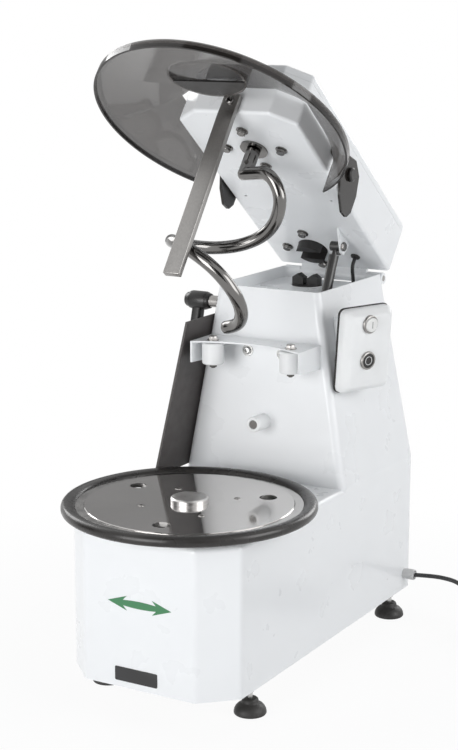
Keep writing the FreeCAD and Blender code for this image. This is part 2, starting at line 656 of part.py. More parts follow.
drive_at = (number("drive_x"), number(DRIVE_Y))
node("bowl_belt", belt("bowl_belt", (0, number("bowl_y")), number("bowl_pulley_radius"), drive_at,
                       number("drive_pulley_radius"), number("belt_z + running_gap"),
                       number("belt_width - 2 * running_gap"), number("belt_thick")))

bearing_top = f"({FOLD_Z} - sheet)"
bowl_bearing_profile = [
    ("bowl_shaft_radius + running_gap", "-60"), ("bowl_shaft_radius + 15", "-60"),
    ("bowl_shaft_radius + 17", "-8"), ("bowl_hub_radius + 10", "-8"), ("bowl_hub_radius + 10", "0"),
    ("bowl_shaft_radius + running_gap", "0")]
foot_bearing_profile = [
    ("0", "0"), ("bowl_hub_radius", "0"), ("bowl_hub_radius", "4"),
    ("bowl_shaft_radius + 10", "4"), ("bowl_shaft_radius + 8", "20"),
    ("bowl_shaft_radius + running_gap", "20"), ("bowl_shaft_radius + running_gap", "12"), ("0", "12")]
node("bowl_bearings", group(
    "bowl_bearings", revolve("bowl_bearing", bowl_bearing_profile, ("0", "bowl_y", bearing_top)),
    revolve("foot_bearing", foot_bearing_profile,
            ("0", "bowl_y", "ground_clearance + bottom_plate_thick"))))

gear_low, gear_high = "(gearbox_z - gearbox_half_height)", "(gearbox_z + gearbox_half_height)"
gear_sides = [(f"drive_x + {sign} * gearbox_half", f"{DRIVE_Y} + {sign} * gearbox_half")
              for sign in (-1, 1)]
housing = round_edges(pad("gear_housing", "xy", [
    (gear_sides[0][0], gear_sides[0][1]), (gear_sides[1][0], gear_sides[0][1]),
    (gear_sides[1][0], gear_sides[1][1]), (gear_sides[0][0], gear_sides[1][1])],
    f"{gear_high} - {gear_low}", gear_low), "gear_bends", "14", upright)
worm_case = rod("worm_case", "28", ("drive_x + worm_offset", gear_sides[0][1], "gearbox_z"),
                "2 * gearbox_half", "y")
bosses = rod("gear_bosses", "30", ("drive_x", DRIVE_Y, f"{gear_low} - 8"),
             f"{gear_high} - {gear_low} + 16")
legs = []
for column_x, sign_x in ((gear_sides[0][0], 1), (gear_sides[1][0], -1)):
    for row_y, sign_y in ((gear_sides[0][1], 1), (gear_sides[1][1], -1)):
        ends_x = [column_x, f"{column_x} + {sign_x} * gearbox_leg"][::sign_x]
        ends_y = [row_y, f"{row_y} + {sign_y} * gearbox_leg"][::sign_y]
        legs.append(block(f"gear_leg_{len(legs)}", ends_x, ends_y,
                          ("ground_clearance + bottom_plate_thick", f"{gear_low} + 20")))
gear_bore = rod("gear_bore", "drive_shaft_radius + running_gap", ("drive_x", DRIVE_Y, "0"),
                TRAY_Z)
node("gearbox", cut("gearbox", fuse("gear_case", housing, worm_case, bosses, *legs), gear_bore))

motor_profile = [("0", "0"), ("motor_radius + 8", "0"), ("motor_radius + 8", "10"),
                 ("motor_radius - 4", "14"), ("motor_radius - 4", "26"), ("motor_radius", "30"),
                 ("motor_radius", "motor_length - 46"), ("motor_radius + 3", "motor_length - 44"),
                 ("motor_radius + 3", "motor_length - 6"), ("motor_radius - 6", "motor_length"),
                 ("0", "motor_length")]
node("motor", revolve("motor", motor_profile,
                      ("drive_x + worm_offset", gear_sides[0][1], "gearbox_z"), TO_FRONT))

cup = "(clutch_radius + jaw_gap)"
shaft_bearing_profile = [
    ("drive_shaft_radius + running_gap", "-clutch_sink - 24"), ("clutch_radius", "-clutch_sink - 24"),
    (f"{cup} + 6", "-clutch_sink - 4"), (f"{cup} + 6", "-sheet - 5"), (f"{cup} + 18", "-sheet - 5"),
    (f"{cup} + 18", "-sheet"), (cup, "-sheet"), (cup, "-clutch_sink - 2"),
    ("drive_shaft_radius + running_gap", "-clutch_sink - 2")]
node("shaft_bearing", revolve("shaft_bearing", shaft_bearing_profile, ("drive_x", DRIVE_Y, TRAY_Z)))

shaft_low = f"(belt_z - {pulley_groove} - 6)"
node("drive_shaft", rod("drive_shaft", "drive_shaft_radius", ("drive_x", DRIVE_Y, shaft_low),
                        f"{TRAY_Z} - 2 - {shaft_low}"))

jaw_middle = "((jaw_inner + clutch_radius) / 2)"
jaw_top = "(jaw_gap + jaw_height)"
jaws = [pad(f"jaw_{name}", "xz", [
    (f"{sign} * jaw_inner", "0"), (f"{sign} * clutch_radius", "0"),
    (f"{sign} * clutch_radius", jaw_top), (f"{sign} * {jaw_middle}", f"{jaw_top} + jaw_roof"),
    (f"{sign} * jaw_inner", jaw_top)][::sign], "2 * jaw_half_width", middle=True)
    for sign, name in ((1, "right"), (-1, "left"))]
clutch_envelope = rod("clutch_envelope", "clutch_radius", ("0", "0", "-clutch_sink"), "60")
clutch_plug = fuse("clutch_plug", *jaws,
                   rod("clutch_disc", "clutch_radius", ("0", "0", "-clutch_sink"),
                       "clutch_sink + jaw_gap"))
trimmed = doc.addObject("Part::Common", "clutch_trimmed")
trimmed.Base, trimmed.Tool = clutch_plug, clutch_envelope
lower_clutch = cut("lower_clutch", trimmed, rod(
    "lower_clutch_bore", "drive_shaft_radius", ("0", "0", "-clutch_sink - 5"), "clutch_sink + 3"))
node("lower_clutch", place(lower_clutch, ("drive_x", DRIVE_Y, TRAY_Z)))


# ---------------------------------------------------------------- pieces on the column

BRACKET_UNDER = "(bracket_top - bracket_sheet)"
top_plate = pad("bracket_top_plate", "xy", [
    ("-bracket_half_width", "roller_y - 27"), ("bracket_half_width", "roller_y - 27"),
    ("bracket_half_width", front_face(BRACKET_UNDER)), ("-bracket_half_width", front_face(BRACKET_UNDER))],
    "bracket_sheet", BRACKET_UNDER)
bracket_low = "(bracket_top - bracket_depth)"
back_plate = pad("bracket_back_plate", "yz", [
    (f"{front_face(bracket_low)} - bracket_sheet", bracket_low), (front_face(bracket_low), bracket_low),
    (front_face("bracket_top"), "bracket_top"),
    (f"{front_face('bracket_top')} - bracket_sheet", "bracket_top")],
    "2 * bracket_half_width", middle=True)
end_plates = [pad(f"bracket_end_{name}", "yz", [
    ("roller_y - 27", "bracket_top"), ("roller_y - 27", f"{bracket_low} + 4"),
    (front_face(bracket_low), bracket_low), (front_face("bracket_top"), "bracket_top")],
    "bracket_sheet", lift) for name, lift in (("right", "bracket_half_width - bracket_sheet"),
                                              ("left", "-bracket_half_width"))]
bowl_room = rod("bracket_bowl_room", "bowl_clearance", ("0", "bowl_y", f"{bracket_low} - 5"),
                "bracket_depth + 10")
axle_holes = [rod(f"axle_hole_{i}", "roller_bolt_radius + pin_gap", (x, "roller_y", "bracket_top - 9"),
                  "18") for i, x in enumerate(("roller_x", "-roller_x"))]
bracket_holes = [screw_hole(f"back_hole_{i}", at, FRONT_TILT, "14", hexed=True)
                 for i, at in enumerate(bracket_bolts)]
node("roller_bracket", cut("roller_bracket", fuse("bracket_sheets", top_plate, back_plate, *end_plates),
                           bowl_room, *axle_holes, *bracket_holes))

for name, x in (("roller_right", "roller_x"), ("roller_left", "-roller_x")):
    node(name, revolve(name, [
        ("roller_bolt_radius + pin_gap", "0"), ("roller_radius - 1.5", "0"), ("roller_radius", "1.5"),
        ("roller_radius", "roller_length - 1.5"), ("roller_radius - 1.5", "roller_length"),
        ("roller_bolt_radius + pin_gap", "roller_length")], (x, "roller_y", "roller_z")))

fixings = [screw(f"bracket_bolt_{i}", at, FRONT_TILT, "bracket_sheet + sheet + 8", hexed=True)
           for i, at in enumerate(bracket_bolts)]
for index, x in enumerate(("roller_x", "-roller_x")):
    fixings.append(fuse(f"axle_{index}",
                        screw(f"axle_bolt_{index}", (x, "roller_y", "bracket_top"), None,
                              "bracket_top - roller_z + 7", hexed=True),
                        hexagon(f"axle_nut_{index}", "foot_nut_radius",
                                (x, "roller_y", "roller_z - panel_gap - 5"), "5")))
lean = f"atan({FRONT_SLOPE})"
screw_reach = "(bumper_reach - bumper_recess)"
fixings.append(screw("bumper_screw", (
    "0", f"{front_face('bumper_z')} - {screw_reach} * cos({lean})",
    f"bumper_z + {screw_reach} * sin({lean})"), FRONT_TILT, f"{screw_reach} + sheet + 3"))
node("column_bolts", group("column_bolts", *fixings))

bumper = revolve("bumper_turned", [
    ("screw_radius + pin_gap", "0"), ("bumper_radius", "0"), ("bumper_radius", "bumper_reach - 2"),
    ("bumper_radius - 2", "bumper_reach"), ("screw_head_radius + 1", "bumper_reach"),
    ("screw_head_radius + 1", screw_reach), ("screw_radius + pin_gap", screw_reach)],
    ("0", front_face("bumper_z"), "bumper_z"), FRONT_TILT)
node("bowl_bumper", bumper)


def guard_outline(height, reach):
    """The side guard in plan at a height, lying on the outside of the left wall."""
    wall = wall_x(height)
    front, rear = f"({front_face(height)} - {reach})", f"({front_face(height)} + guard_overlap)"
    return [(f"-({wall} + guard_thick)", front), (f"-{wall}", front), (f"-{wall}", rear),
            (f"-({wall} + guard_thick)", rear)]


guard_sheet = loft(
    "guard_sheet",
    lambda body: sketch(body, "xy", guard_outline("guard_low_z", "guard_low_reach"), "guard_low_z"),
    lambda body: sketch(body, "xy", guard_outline("guard_high_z", "guard_high_reach"),
                        "guard_high_z"))
guard_holes = [screw_hole(f"guard_sheet_hole_{i}", at, WALL_TILT, "12")
               for i, at in enumerate(guard_screws)]
node("side_guard", cut("side_guard", guard_sheet, *guard_holes))

small_screws = [screw(f"guard_screw_{i}", at, WALL_TILT, "guard_thick + sheet + 2")
                for i, at in enumerate(guard_screws)]
small_screws += [screw(f"cover_screw_{i}", (x, f"{y} + sheet", z), TO_REAR, "2 * sheet + 2")
                 for i, (x, y, z) in enumerate(cover_screws)]
node("wall_screws", group("wall_screws", *small_screws))

lever_hub = revolve("lever_hub", [
    ("lock_shaft_radius + running_gap", "0"), ("hub_radius - 3", "0"), ("hub_radius - 3", "4"),
    ("hub_radius", "6"), ("hub_radius", "hub_length - 4"), ("hub_radius - 4", "hub_length"),
    ("0", "hub_length"), ("0", "hub_length - 6"), ("lock_shaft_radius + running_gap", "hub_length - 6")],
    ("-hub_start", "lever_y", LEVER_Z), TO_LEFT)
arm = round_edges(pad("lever_arm", "yz", [
    ("-arm_width / 2", "0"), ("arm_width / 2", "0"), ("arm_width / 2", "-arm_length"),
    ("-arm_width / 2", "-arm_length")], "arm_thick", middle=True), "arm_rounding", "arm_thick / 4",
    upright)
place(arm, ("-(hub_start + hub_length / 2)", "lever_y", f"{LEVER_Z} - hub_radius / 2"),
      Rotation(Vector(1, 0, 0), -15))
node("lock_lever", fuse("lock_lever", lever_hub, arm))

lock_rod = rod("lock_rod", "lock_shaft_radius", ("-(hub_start + hub_length - 6)", "lever_y", LEVER_Z),
               f"hub_start + hub_length - 6 - {wall_x(LEVER_Z)} + 22", "x")
lock_cam = rod("lock_cam", "lock_shaft_radius + 3.5", (
    f"-({wall_x(LEVER_Z)} - 12)", "lever_y", LEVER_Z), "8", "x")
lock_collar = rod("lock_collar", "lock_shaft_radius + 3.5", ("-hub_start", "lever_y", LEVER_Z),
                  f"hub_start - {wall_x(f'{LEVER_Z} - lock_shaft_radius - 3.5')} - panel_gap", "x")
lock_cam_bit = block("lock_cam_bit", (f"-({wall_x(LEVER_Z)} - 12)", f"-({wall_x(LEVER_Z)} - 20)"),
                     ("lever_y", "lever_y + 24"), (f"{LEVER_Z} - 8", f"{LEVER_Z} + 8"))
node("lock_shaft", fuse("lock_shaft", lock_rod, lock_cam, lock_cam_bit, lock_collar))

node("hinge_pin", rod("hinge_pin", "hinge_pin_radius", ("-column_top_width / 2", "hinge_y", "hinge_z"),
                      "column_top_width", "x"))

cheeks = []
for index, side in enumerate(("gas_x + gas_eye_radius + 1", "gas_x - gas_eye_radius - 4")):
    cheek = pad(f"gas_cheek_{index}", "yz", [
        (front_face("gas_foot_z - 22") + " + sheet", "gas_foot_z - 22"),
        ("gas_foot_y + 14", "gas_foot_z - 14"), ("gas_foot_y + 14", "gas_foot_z + 14"),
        (front_face("gas_foot_z + 22") + " + sheet", "gas_foot_z + 22")], "3", side)
    cheeks.append(cheek)
foot_plate = pad("gas_foot_plate", "yz", [
    (front_face("gas_foot_z - 30") + " + sheet", "gas_foot_z - 30"),
    (front_face("gas_foot_z - 30") + " + sheet + 3", "gas_foot_z - 30"),
    (front_face("gas_foot_z + 30") + " + sheet + 3", "gas_foot_z + 30"),
    (front_face("gas_foot_z + 30") + " + sheet", "gas_foot_z + 30")],
    "2 * gas_eye_radius + 8", "gas_x - gas_eye_radius - 4")
eye_room = rod("gas_eye_room", "gas_bolt_radius + gas_cheek_clearance",
               ("gas_x - 30", "gas_foot_y", "gas_foot_z"), "60", "x")
node("gas_lower_bracket", cut("gas_lower_bracket", fuse("gas_foot", foot_plate, *cheeks), eye_room))


# ---------------------------------------------------------------- control housing

def control_node(label, thing):
    """A sub-part modelled in the housing's frame: X out of its face, Y along it, Z up."""
    thing.Placement = FreeCAD.Placement(Vector(), Rotation(Vector(0, 0, -1), 20))
    bind(thing, **{"Placement.Base.x": "control_x", "Placement.Base.y": "control_y",
                   "Placement.Base.z": "control_z",
                   "Placement.Rotation.Angle": "control_turn * 1 deg"})
    return node(label, thing) if label else thing


def control_slab(name, inset, low, high):
    """A slab of the housing's outline between two distances from its mounting face."""
    outline = [(inset, inset), (f"control_width - ({inset})", inset),
               (f"control_width - ({inset})", f"control_height - ({inset})"),
               (inset, f"control_height - ({inset})")]
    body = pad(name, "yz", outline, f"({high}) - ({low})", low)
    return round_edges(body, name + "_corners", f"max(control_corner - ({inset}); 3)", along_x)


def along_x(edge):
    """True for an edge that runs along X."""
    start, end = edge.Vertexes[0].Point, edge.Vertexes[-1].Point
    return abs(end.x - start.x) > 0.9 * (end - start).Length > 0


wedge = control_node(None, control_slab("control_wedge", "control_inset", "-90", "0"))
node("control_bracket", cut("control_bracket", wedge, column_outside))
control_node("control_gasket", control_slab("control_gasket", "-1", "0", "gasket_thick"))

button_y = "(control_width / 2)"
heights = {"start": "start_height", "stop": "stop_height"}
face_at = "control_depth"
box_outer = bevel_face(control_slab("control_outer", "0", "gasket_thick", face_at),
                       "control_outer_bevel", "control_bevel", "X", face_at)
box_room = bevel_face(control_slab("control_room", "sheet + 1", "0", "control_depth - sheet - 1"),
                      "control_room_bevel", "control_bevel - sheet - 1", "X",
                      "control_depth - sheet - 1")
button_holes = [rod(f"{name}_hole", "button_radius + button_gap", ("0", button_y, height), "60", "x")
                for name, height in heights.items()]
control_node("control_box", cut("control_box", box_outer, box_room, *button_holes))

bezels = []
for name, height in heights.items():
    rim = rod(f"{name}_rim", "bezel_radius", (face_at, button_y, height), "bezel_height", "x")
    bore = rod(f"{name}_rim_bore", "button_radius + button_gap", (f"{face_at} - 5", button_y, height),
               "20", "x")
    bezels.append(cut(f"{name}_bezel", rim, bore))
control_node("button_bezels", group("button_bezels", *bezels))

for name, proud in (("start", "3"), ("stop", "-0.5")):
    cap = rod(f"{name}_cap", "button_radius", (f"{face_at} - sheet - 1 - panel_gap", button_y,
                                               heights[name]),
              f"sheet + 1 + panel_gap + bezel_height + {proud}", "x")
    flange = rod(f"{name}_flange", "button_radius + 2",
                 (f"{face_at} - sheet - 4 - panel_gap", button_y, heights[name]), "3", "x")
    control_node(f"{name}_button", fuse(f"{name}_button", cap, flange))


# ---------------------------------------------------------------- head

def head_outline(inset):
    """The head in plan, with both nose corners bevelled, inset by a wall."""
    side = f"(head_width / 2 - ({inset}))"
    nose = f"-(head_nose - ({inset}))"
    rear = f"-(head_rear + ({inset}))"
    tip = f"(head_width / 2 - nose_bevel_width - 0.3 * ({inset}))"
    shoulder = f"-(head_nose - nose_bevel_depth - 0.45 * ({inset}))"
    return [(f"-{side}", rear), (f"-{side}", shoulder), (f"-{tip}", nose), (tip, nose),
            (side, shoulder), (side, rear)]


def head_box(name, inset, low, high, fold, folded_at):
    """The head's outline as a box with rounded corners and one rounded flat."""
    body = pad(name, "xy", head_outline(inset), f"({high}) - ({low})", low)
    round_edges(body, name + "_bends", f"head_bend - ({inset})", upright)
    level = number(folded_at)
    return round_edges(body, name + "_fold", fold,
                       lambda edge: all(abs(v.Z - level) < 0.01 for v in edge.Vertexes))


HEAD_TOP = "(head_offset + head_height)"
LID_LOW = f"({HEAD_TOP} - cover_depth)"
frame_outer = head_box("frame_outer", "0", UNDERSIDE, f"{LID_LOW} - panel_gap", "head_fold", UNDERSIDE)
frame_inner = head_box("frame_inner", "sheet", FLOOR_TOP, HEAD_TOP, "head_fold - sheet", FLOOR_TOP)
frame_tray = cut("frame_tray", frame_outer, frame_inner)
barrel = rod("hinge_barrel", "knuckle_radius", ("-barrel_length / 2", "0", "0"), "barrel_length", "x")
saddle = block("barrel_saddle", ("-barrel_length / 2", "barrel_length / 2"),
               ("-head_rear - 3.5", "-head_rear + 2"), ("head_offset - 7", FLOOR_TOP))
lug = pad("gas_lug", "yz", [
    ("-gas_reach - 35", FLOOR_TOP), ("-gas_reach - 11", "-gas_drop - 2"),
    ("-gas_reach + 3", "-gas_drop - 11"), ("-gas_reach + 13", "-gas_drop - 9"),
    ("-gas_reach + 19", FLOOR_TOP)], "gas_lug_thick", "gas_lug_x")
barrel_bore = rod("barrel_bore", "hinge_pin_radius + pin_gap", ("-head_width / 2", "0", "0"),
                  "head_width", "x")
lug_bore = rod("lug_bore", "gas_bolt_radius + pin_gap",
               ("gas_lug_x - 5", "-gas_reach", "-gas_drop"), "15", "x")

clutch_at = ("drive_x", "-clutch_reach")
spiral_at = ("0", f"-{SPIRAL_REACH}")
flange_spots = [(x, y) for x, y in (("flange_bolt_circle", "0"), ("-flange_bolt_circle", "0"),
                                    ("0", "flange_bolt_circle"), ("0", "-flange_bolt_circle"))]
flange_bolts = [(f"{cx} + {x}", f"{cy} + {y}", UNDERSIDE) for cx, cy in (clutch_at, spiral_at)
                for x, y in flange_spots]
floor_holes = [screw_hole(f"floor_hole_{i}", at, DOWNWARD, "20", hexed=True)
               for i, at in enumerate(flange_bolts)]
floor_holes += [
    rod("clutch_floor_hole", "clutch_radius + jaw_gap", (*clutch_at, "0"), "30"),
    rod("spiral_floor_hole", "spiral_shaft_radius + 1", (*spiral_at, "0"), "30"),
    rod("cable_floor_hole", "grommet_radius - 2", ("cable_x", "-grommet_reach", "0"), "30"),
    rod("drain_hole_right", "2.5", ("0.75 * head_width / 2", "-gas_reach - 114", "0"), "30"),
    rod("drain_hole_left", "2.5", ("-0.75 * head_width / 2", "-gas_reach - 114", "0"), "30"),
    rod("bar_hole", "bolt_radius + pin_gap", ("0", "-head_nose - 5", "bar_bolt_rise"), "15", "y"),
    rod("pivot_holes", "pivot_radius + pin_gap", ("-head_width", "-pivot_reach", "pivot_rise"),
        "2 * head_width", "x")]
bar_bolt = ("0", "-(head_nose + bar_thick)", "bar_bolt_rise")
frame_body = fuse("frame_body", frame_tray, barrel, saddle, lug)
head_node("head_frame", cut("head_frame_cut", frame_body, barrel_bore, lug_bore, *floor_holes))

cover_outer = head_box("cover_outer", "0", LID_LOW, HEAD_TOP, "cover_bend", HEAD_TOP)
cover_inner = head_box("cover_inner", "sheet", f"{LID_LOW} - sheet", f"{HEAD_TOP} - sheet",
                       "cover_bend - sheet", f"{HEAD_TOP} - sheet")
head_node("head_cover", cut("head_cover_cut", cover_outer, cover_inner))

for name, spot, first, shaft in (("clutch", clutch_at, "clutch_radius + jaw_gap", "input_shaft_radius"),
                                 ("spiral", spiral_at, "spiral_shaft_radius + running_gap",
                                  "spiral_shaft_radius")):
    diamond = round_edges(pad(f"{name}_flange", "xy", [
        ("flange_corner + 6", "0"), ("0", "flange_corner + 6"), ("-flange_corner - 6", "0"),
        ("0", "-flange_corner - 6")], "flange_thick"), f"{name}_flange_corners", "10", upright)
    hub = cone(f"{name}_hub", "flange_hub + 4", "flange_hub", ("0", "0", "flange_thick"),
               "flange_hub_rise")
    low_bore = rod(f"{name}_low_bore", first, ("0", "0", "-1"), "flange_thick - 3")
    high_bore = rod(f"{name}_high_bore", f"{shaft} + running_gap", ("0", "0", "-1"), "60")
    holes = [rod(f"{name}_flange_hole_{i}", "bolt_radius + pin_gap", (x, y, "-5"), "30")
             for i, (x, y) in enumerate(flange_spots)]
    bearing = cut(f"{name}_housing", fuse(f"{name}_casting", diamond, hub), low_bore, high_bore, *holes)
    head_node(f"{name}_bearing", place(bearing, (*spot, FLOOR_TOP)))

bolts = [screw(f"flange_bolt_{i}", at, DOWNWARD, "sheet + flange_thick - 0.5", hexed=True)
         for i, at in enumerate(flange_bolts)]
bolts.append(screw("bar_bolt", bar_bolt, TO_FRONT, "bar_thick + sheet + 8", hexed=True))
gas_bolt = fuse("gas_bolt",
                rod("gas_bolt_shank", "gas_bolt_radius",
                    ("gas_x - gas_eye_radius - 1", "-gas_reach", "-gas_drop"),
                    "gas_lug_x + gas_lug_thick - gas_x + gas_eye_radius + 1", "x"),
                hexagon("gas_bolt_head", "bolt_head_radius",
                        ("gas_lug_x + gas_lug_thick", "-gas_reach", "-gas_drop"), "gas_bolt_head", "x"))
head_node("head_bolts", *bolts, gas_bolt)

bar_crease = "(0 - 5)"
bar_back = "(bar_bottom - 5) * tan(bar_lean)"
bar = pad("bar_blank", "yz", [
    ("-head_nose", bar_crease), ("-head_nose", "bar_top"), ("-head_nose - bar_thick", "bar_top"),
    ("-head_nose - bar_thick", bar_crease), (f"-head_nose - bar_thick + {bar_back}", "-bar_bottom"),
    (f"-head_nose + {bar_back}", "-bar_bottom")], "bar_width", middle=True)
bar_hole = rod("bar_bolt_hole", "bolt_radius + pin_gap", ("0", "-head_nose - 30", "bar_bolt_rise"),
               "40", "y")
head_node("breaker_bar", cut("bar_drilled", bar, bar_hole))

grommet = revolve("grommet_ring", [
    ("head_cable_radius + pin_gap", "-2.5"), ("grommet_radius - 1", "-2.5"), ("grommet_radius", "-1"),
    ("grommet_radius", "0"), ("grommet_radius - 2 - pin_gap", "0"),
    ("grommet_radius - 2 - pin_gap", "sheet"), ("grommet_radius", "sheet"),
    ("grommet_radius", "sheet + 2"), ("head_cable_radius + pin_gap", "sheet + 2")],
    ("cable_x", "-grommet_reach", UNDERSIDE))
head_node("grommet", grommet)

pins = [revolve(f"pivot_{side}", [
    ("0", "-5"), ("pivot_radius", "-5"), ("pivot_radius", "2 * ear_gap + ear_thick"),
    ("pivot_radius + 5", "2 * ear_gap + ear_thick"), ("pivot_radius + 5", "2 * ear_gap + ear_thick + 3"),
    ("pivot_radius + 3", "2 * ear_gap + ear_thick + 5"), ("0", "2 * ear_gap + ear_thick + 5")],
    (x, "-pivot_reach", "pivot_rise"), turn)
    for side, x, turn in (("right", "head_width / 2", TO_RIGHT), ("left", "-head_width / 2", TO_LEFT))]
head_node("shield_pivots", *pins)

pulley_low = "head_belt_rise - 3"
pulley_tall = "head_belt_width + 6"


def head_pulley(name, bore, at):
    """A flanged belt pulley on a shaft in the head."""
    return revolve(name, [
        (bore, "0"), ("head_pulley_radius + 3", "0"), ("head_pulley_radius + 3", "2.5"),
        ("head_pulley_radius", "2.5"), ("head_pulley_radius", f"{pulley_tall} - 2.5"),
        ("head_pulley_radius + 3", f"{pulley_tall} - 2.5"), ("head_pulley_radius + 3", pulley_tall),
        (bore, pulley_tall)], (*at, pulley_low))


clutch_high = f"({FLOOR_TOP} + flange_thick - 4.5)"
input_rod = rod("input_rod", "input_shaft_radius", (*clutch_at, clutch_high),
                f"{pulley_low} + {pulley_tall} + 4 - {clutch_high}")
head_node("input_shaft", fuse("input_fused", input_rod,
                              head_pulley("input_pulley", "input_shaft_radius - 2", clutch_at)))

clutch_low = f"({UNDERSIDE} - clutch_drop)"
clutch_blank = rod("upper_clutch_blank", "clutch_radius", ("0", "0", clutch_low),
                   f"{clutch_high} - {clutch_low}")
clutch_slot = block("upper_clutch_slot", ("-2 * clutch_radius", "2 * clutch_radius"),
                    ("-jaw_half_width - jaw_lash", "jaw_half_width + jaw_lash"),
                    (f"{clutch_low} - 1", f"{clutch_low} + jaw_height + jaw_roof - 3.5"))
head_node("upper_clutch", place(cut("upper_clutch_cut", clutch_blank, clutch_slot),
                                (*clutch_at, "0")))

collar_top = f"({UNDERSIDE} - jaw_gap / 2)"
spiral_rod = rod("spiral_rod", "spiral_shaft_radius", (*spiral_at, collar_top),
                 f"{pulley_low} + {pulley_tall} + 4 - {collar_top}")
collar = rod("spiral_collar", "collar_radius", (*spiral_at, f"{collar_top} - collar_thick"),
             "collar_thick")
head_node("spiral_shaft", fuse("spiral_fused", spiral_rod, collar,
                               head_pulley("spiral_pulley", "spiral_shaft_radius - 2", spiral_at)))

head_pulley_at = [(number(x), number(y)) for x, y in (clutch_at, spiral_at)]
head_node("head_belt", belt(
    "head_belt_loop", head_pulley_at[0], number("head_pulley_radius"), head_pulley_at[1],
    number("head_pulley_radius"), number("head_belt_rise"), number("head_belt_width"),
    number("belt_thick")))


# ---------------------------------------------------------------- bent rods and cables

def rounded_path(points, tightest):
    """Straight runs joined by tangent arcs, as one wire, and the smallest arc radius."""
    edges, radii = [], []
    start = points[0]
    for before, corner, after in zip(points, points[1:], points[2:]):
        back, ahead = before - corner, after - corner
        shorter = min(back.Length, ahead.Length)
        turn = math.pi - back.getAngle(ahead)
        radius = 0.45 * shorter / math.tan(turn / 2)
        back.normalize()
        ahead.normalize()
        first, last = corner + back * 0.45 * shorter, corner + ahead * 0.45 * shorter
        inward = back + ahead
        inward.normalize()
        middle = corner + inward * (radius / math.cos(turn / 2) - radius)
        edges += [Part.LineSegment(start, first).toShape(), Part.Arc(first, middle, last).toShape()]
        radii.append(radius)
        start = last
    edges.append(Part.LineSegment(start, points[-1]).toShape())
    if min(radii) < tightest:
        raise RuntimeError(f"a bend of {min(radii):.1f} is tighter than {tightest:.1f}")
    return Part.Wire(edges), radii


def tube(name, points, radius, tightest):
    """A round tube along a rounded path, its volume set against section times length."""
    path, radii = rounded_path(points, tightest)
    along = points[1] - points[0]
    section = Part.Face(Part.Wire(Part.makeCircle(radius, points[0], along)))
    shape = path.makePipe(section)
    ratio = shape.Volume / (math.pi * radius ** 2 * path.Length)
    print(f"{name}: length {path.Length:.0f}, volume ratio {ratio:.3f}, radii",
          " ".join(f"{r:.0f}" for r in radii))
    if not 0.98 < ratio < 1.02:
        raise RuntimeError(f"{name} is not swept evenly")
    return shape


def about_spiral(angle, reach, depth):
    """A point about the spiral's axis in the head frame: 0 is to the right, 90 towards the column."""
    return Vector(reach * math.cos(math.radians(angle)),
                  reach * math.sin(math.radians(angle)) - number(SPIRAL_REACH), -depth)


hook_start, hook_end = number("hook_start_depth"), number("hook_depth")
hook_ring = number("hook_radius")
hook_first, hook_last, hook_step = 33, 343, 31
hook_shoulder = number("hook_start_depth + hook_drop")
hook_rise = number("hook_depth - hook_lift - hook_start_depth - hook_drop") / (hook_last - hook_first)
hook_points = [about_spiral(166, number("hook_tail"), hook_start),
               about_spiral(-14, number("hook_elbow"), hook_start + 3),
               about_spiral(8, hook_ring - 1, (hook_start + hook_shoulder) / 2 + 1)]
hook_points += [about_spiral(angle, hook_ring, hook_shoulder + hook_rise * (angle - hook_first))
                for angle in range(hook_first, hook_last + 1, hook_step)]
hook_points += [about_spiral(angle, hook_ring, hook_end + drop)
                for angle, drop in ((371, -4), (401, 0), (437, 1))]
hook_bar = tube("spiral hook", hook_points, number("rod_radius"), number("rod_radius"))
tip_edge = min(hook_bar.Edges, key=lambda edge: (edge.CenterOfMass - hook_points[-1]).Length)
hook_tube = solid("hook_tube", hook_bar.makeFillet(number("0.6 * rod_radius"), [tip_edge]))
sleeve_length = f"(hook_start_depth + rod_radius / 2 + {collar_top} - collar_thick)"
hook_hub = revolve("hook_hub", [
    ("0", "0"), ("sleeve_radius", "0"), ("sleeve_radius", f"2 - {sleeve_length}"),
    ("sleeve_radius - 2", f"-{sleeve_length}"), ("0", f"-{sleeve_length}")],
    (*spiral_at, f"{collar_top} - collar_thick"))
head_node("spiral_hook", fuse("hook_fused", hook_hub, hook_tube))


def raised(x, y, z):
    """The world place of a head-frame point with the head raised."""
    tilt = math.radians(-number("open_angle"))
    y, z = number(y), number(z)
    return Vector(number(x), number("hinge_y") + y * math.cos(tilt) - z * math.sin(tilt),
                  number("hinge_z") + y * math.sin(tilt) + z * math.cos(tilt))


cable_points = [raised("cable_x", "-grommet_reach", f"{FLOOR_TOP} + 10"),
                raised("cable_x", "-grommet_reach", "head_offset - 20"),
                Vector(number("cable_x"), number(f"{CABLE_Y} - 2"), number(f"{TRAY_Z} + 8")),
                Vector(number("cable_x"), number(CABLE_Y), number(f"{TRAY_Z} - 22"))]
node("head_cable", solid("head_cable", tube("head cable", cable_points,
                                            number("head_cable_radius"), 15)))

gland_turned = revolve("gland_turned", [
    ("0", "-7"), ("gland_radius", "-7"), ("gland_radius", "-sheet"),
    ("cord_radius + 1.9", "-sheet"), ("cord_radius + 1.9", "0"), ("gland_radius", "0"),
    ("gland_radius", "6"), ("gland_radius - 1.5", "8"), ("cord_radius + 1.2", "gland_length"),
    ("0", "gland_length")], (HALF, "gland_y", "gland_z"), TO_RIGHT)
node("cable_gland", gland_turned)

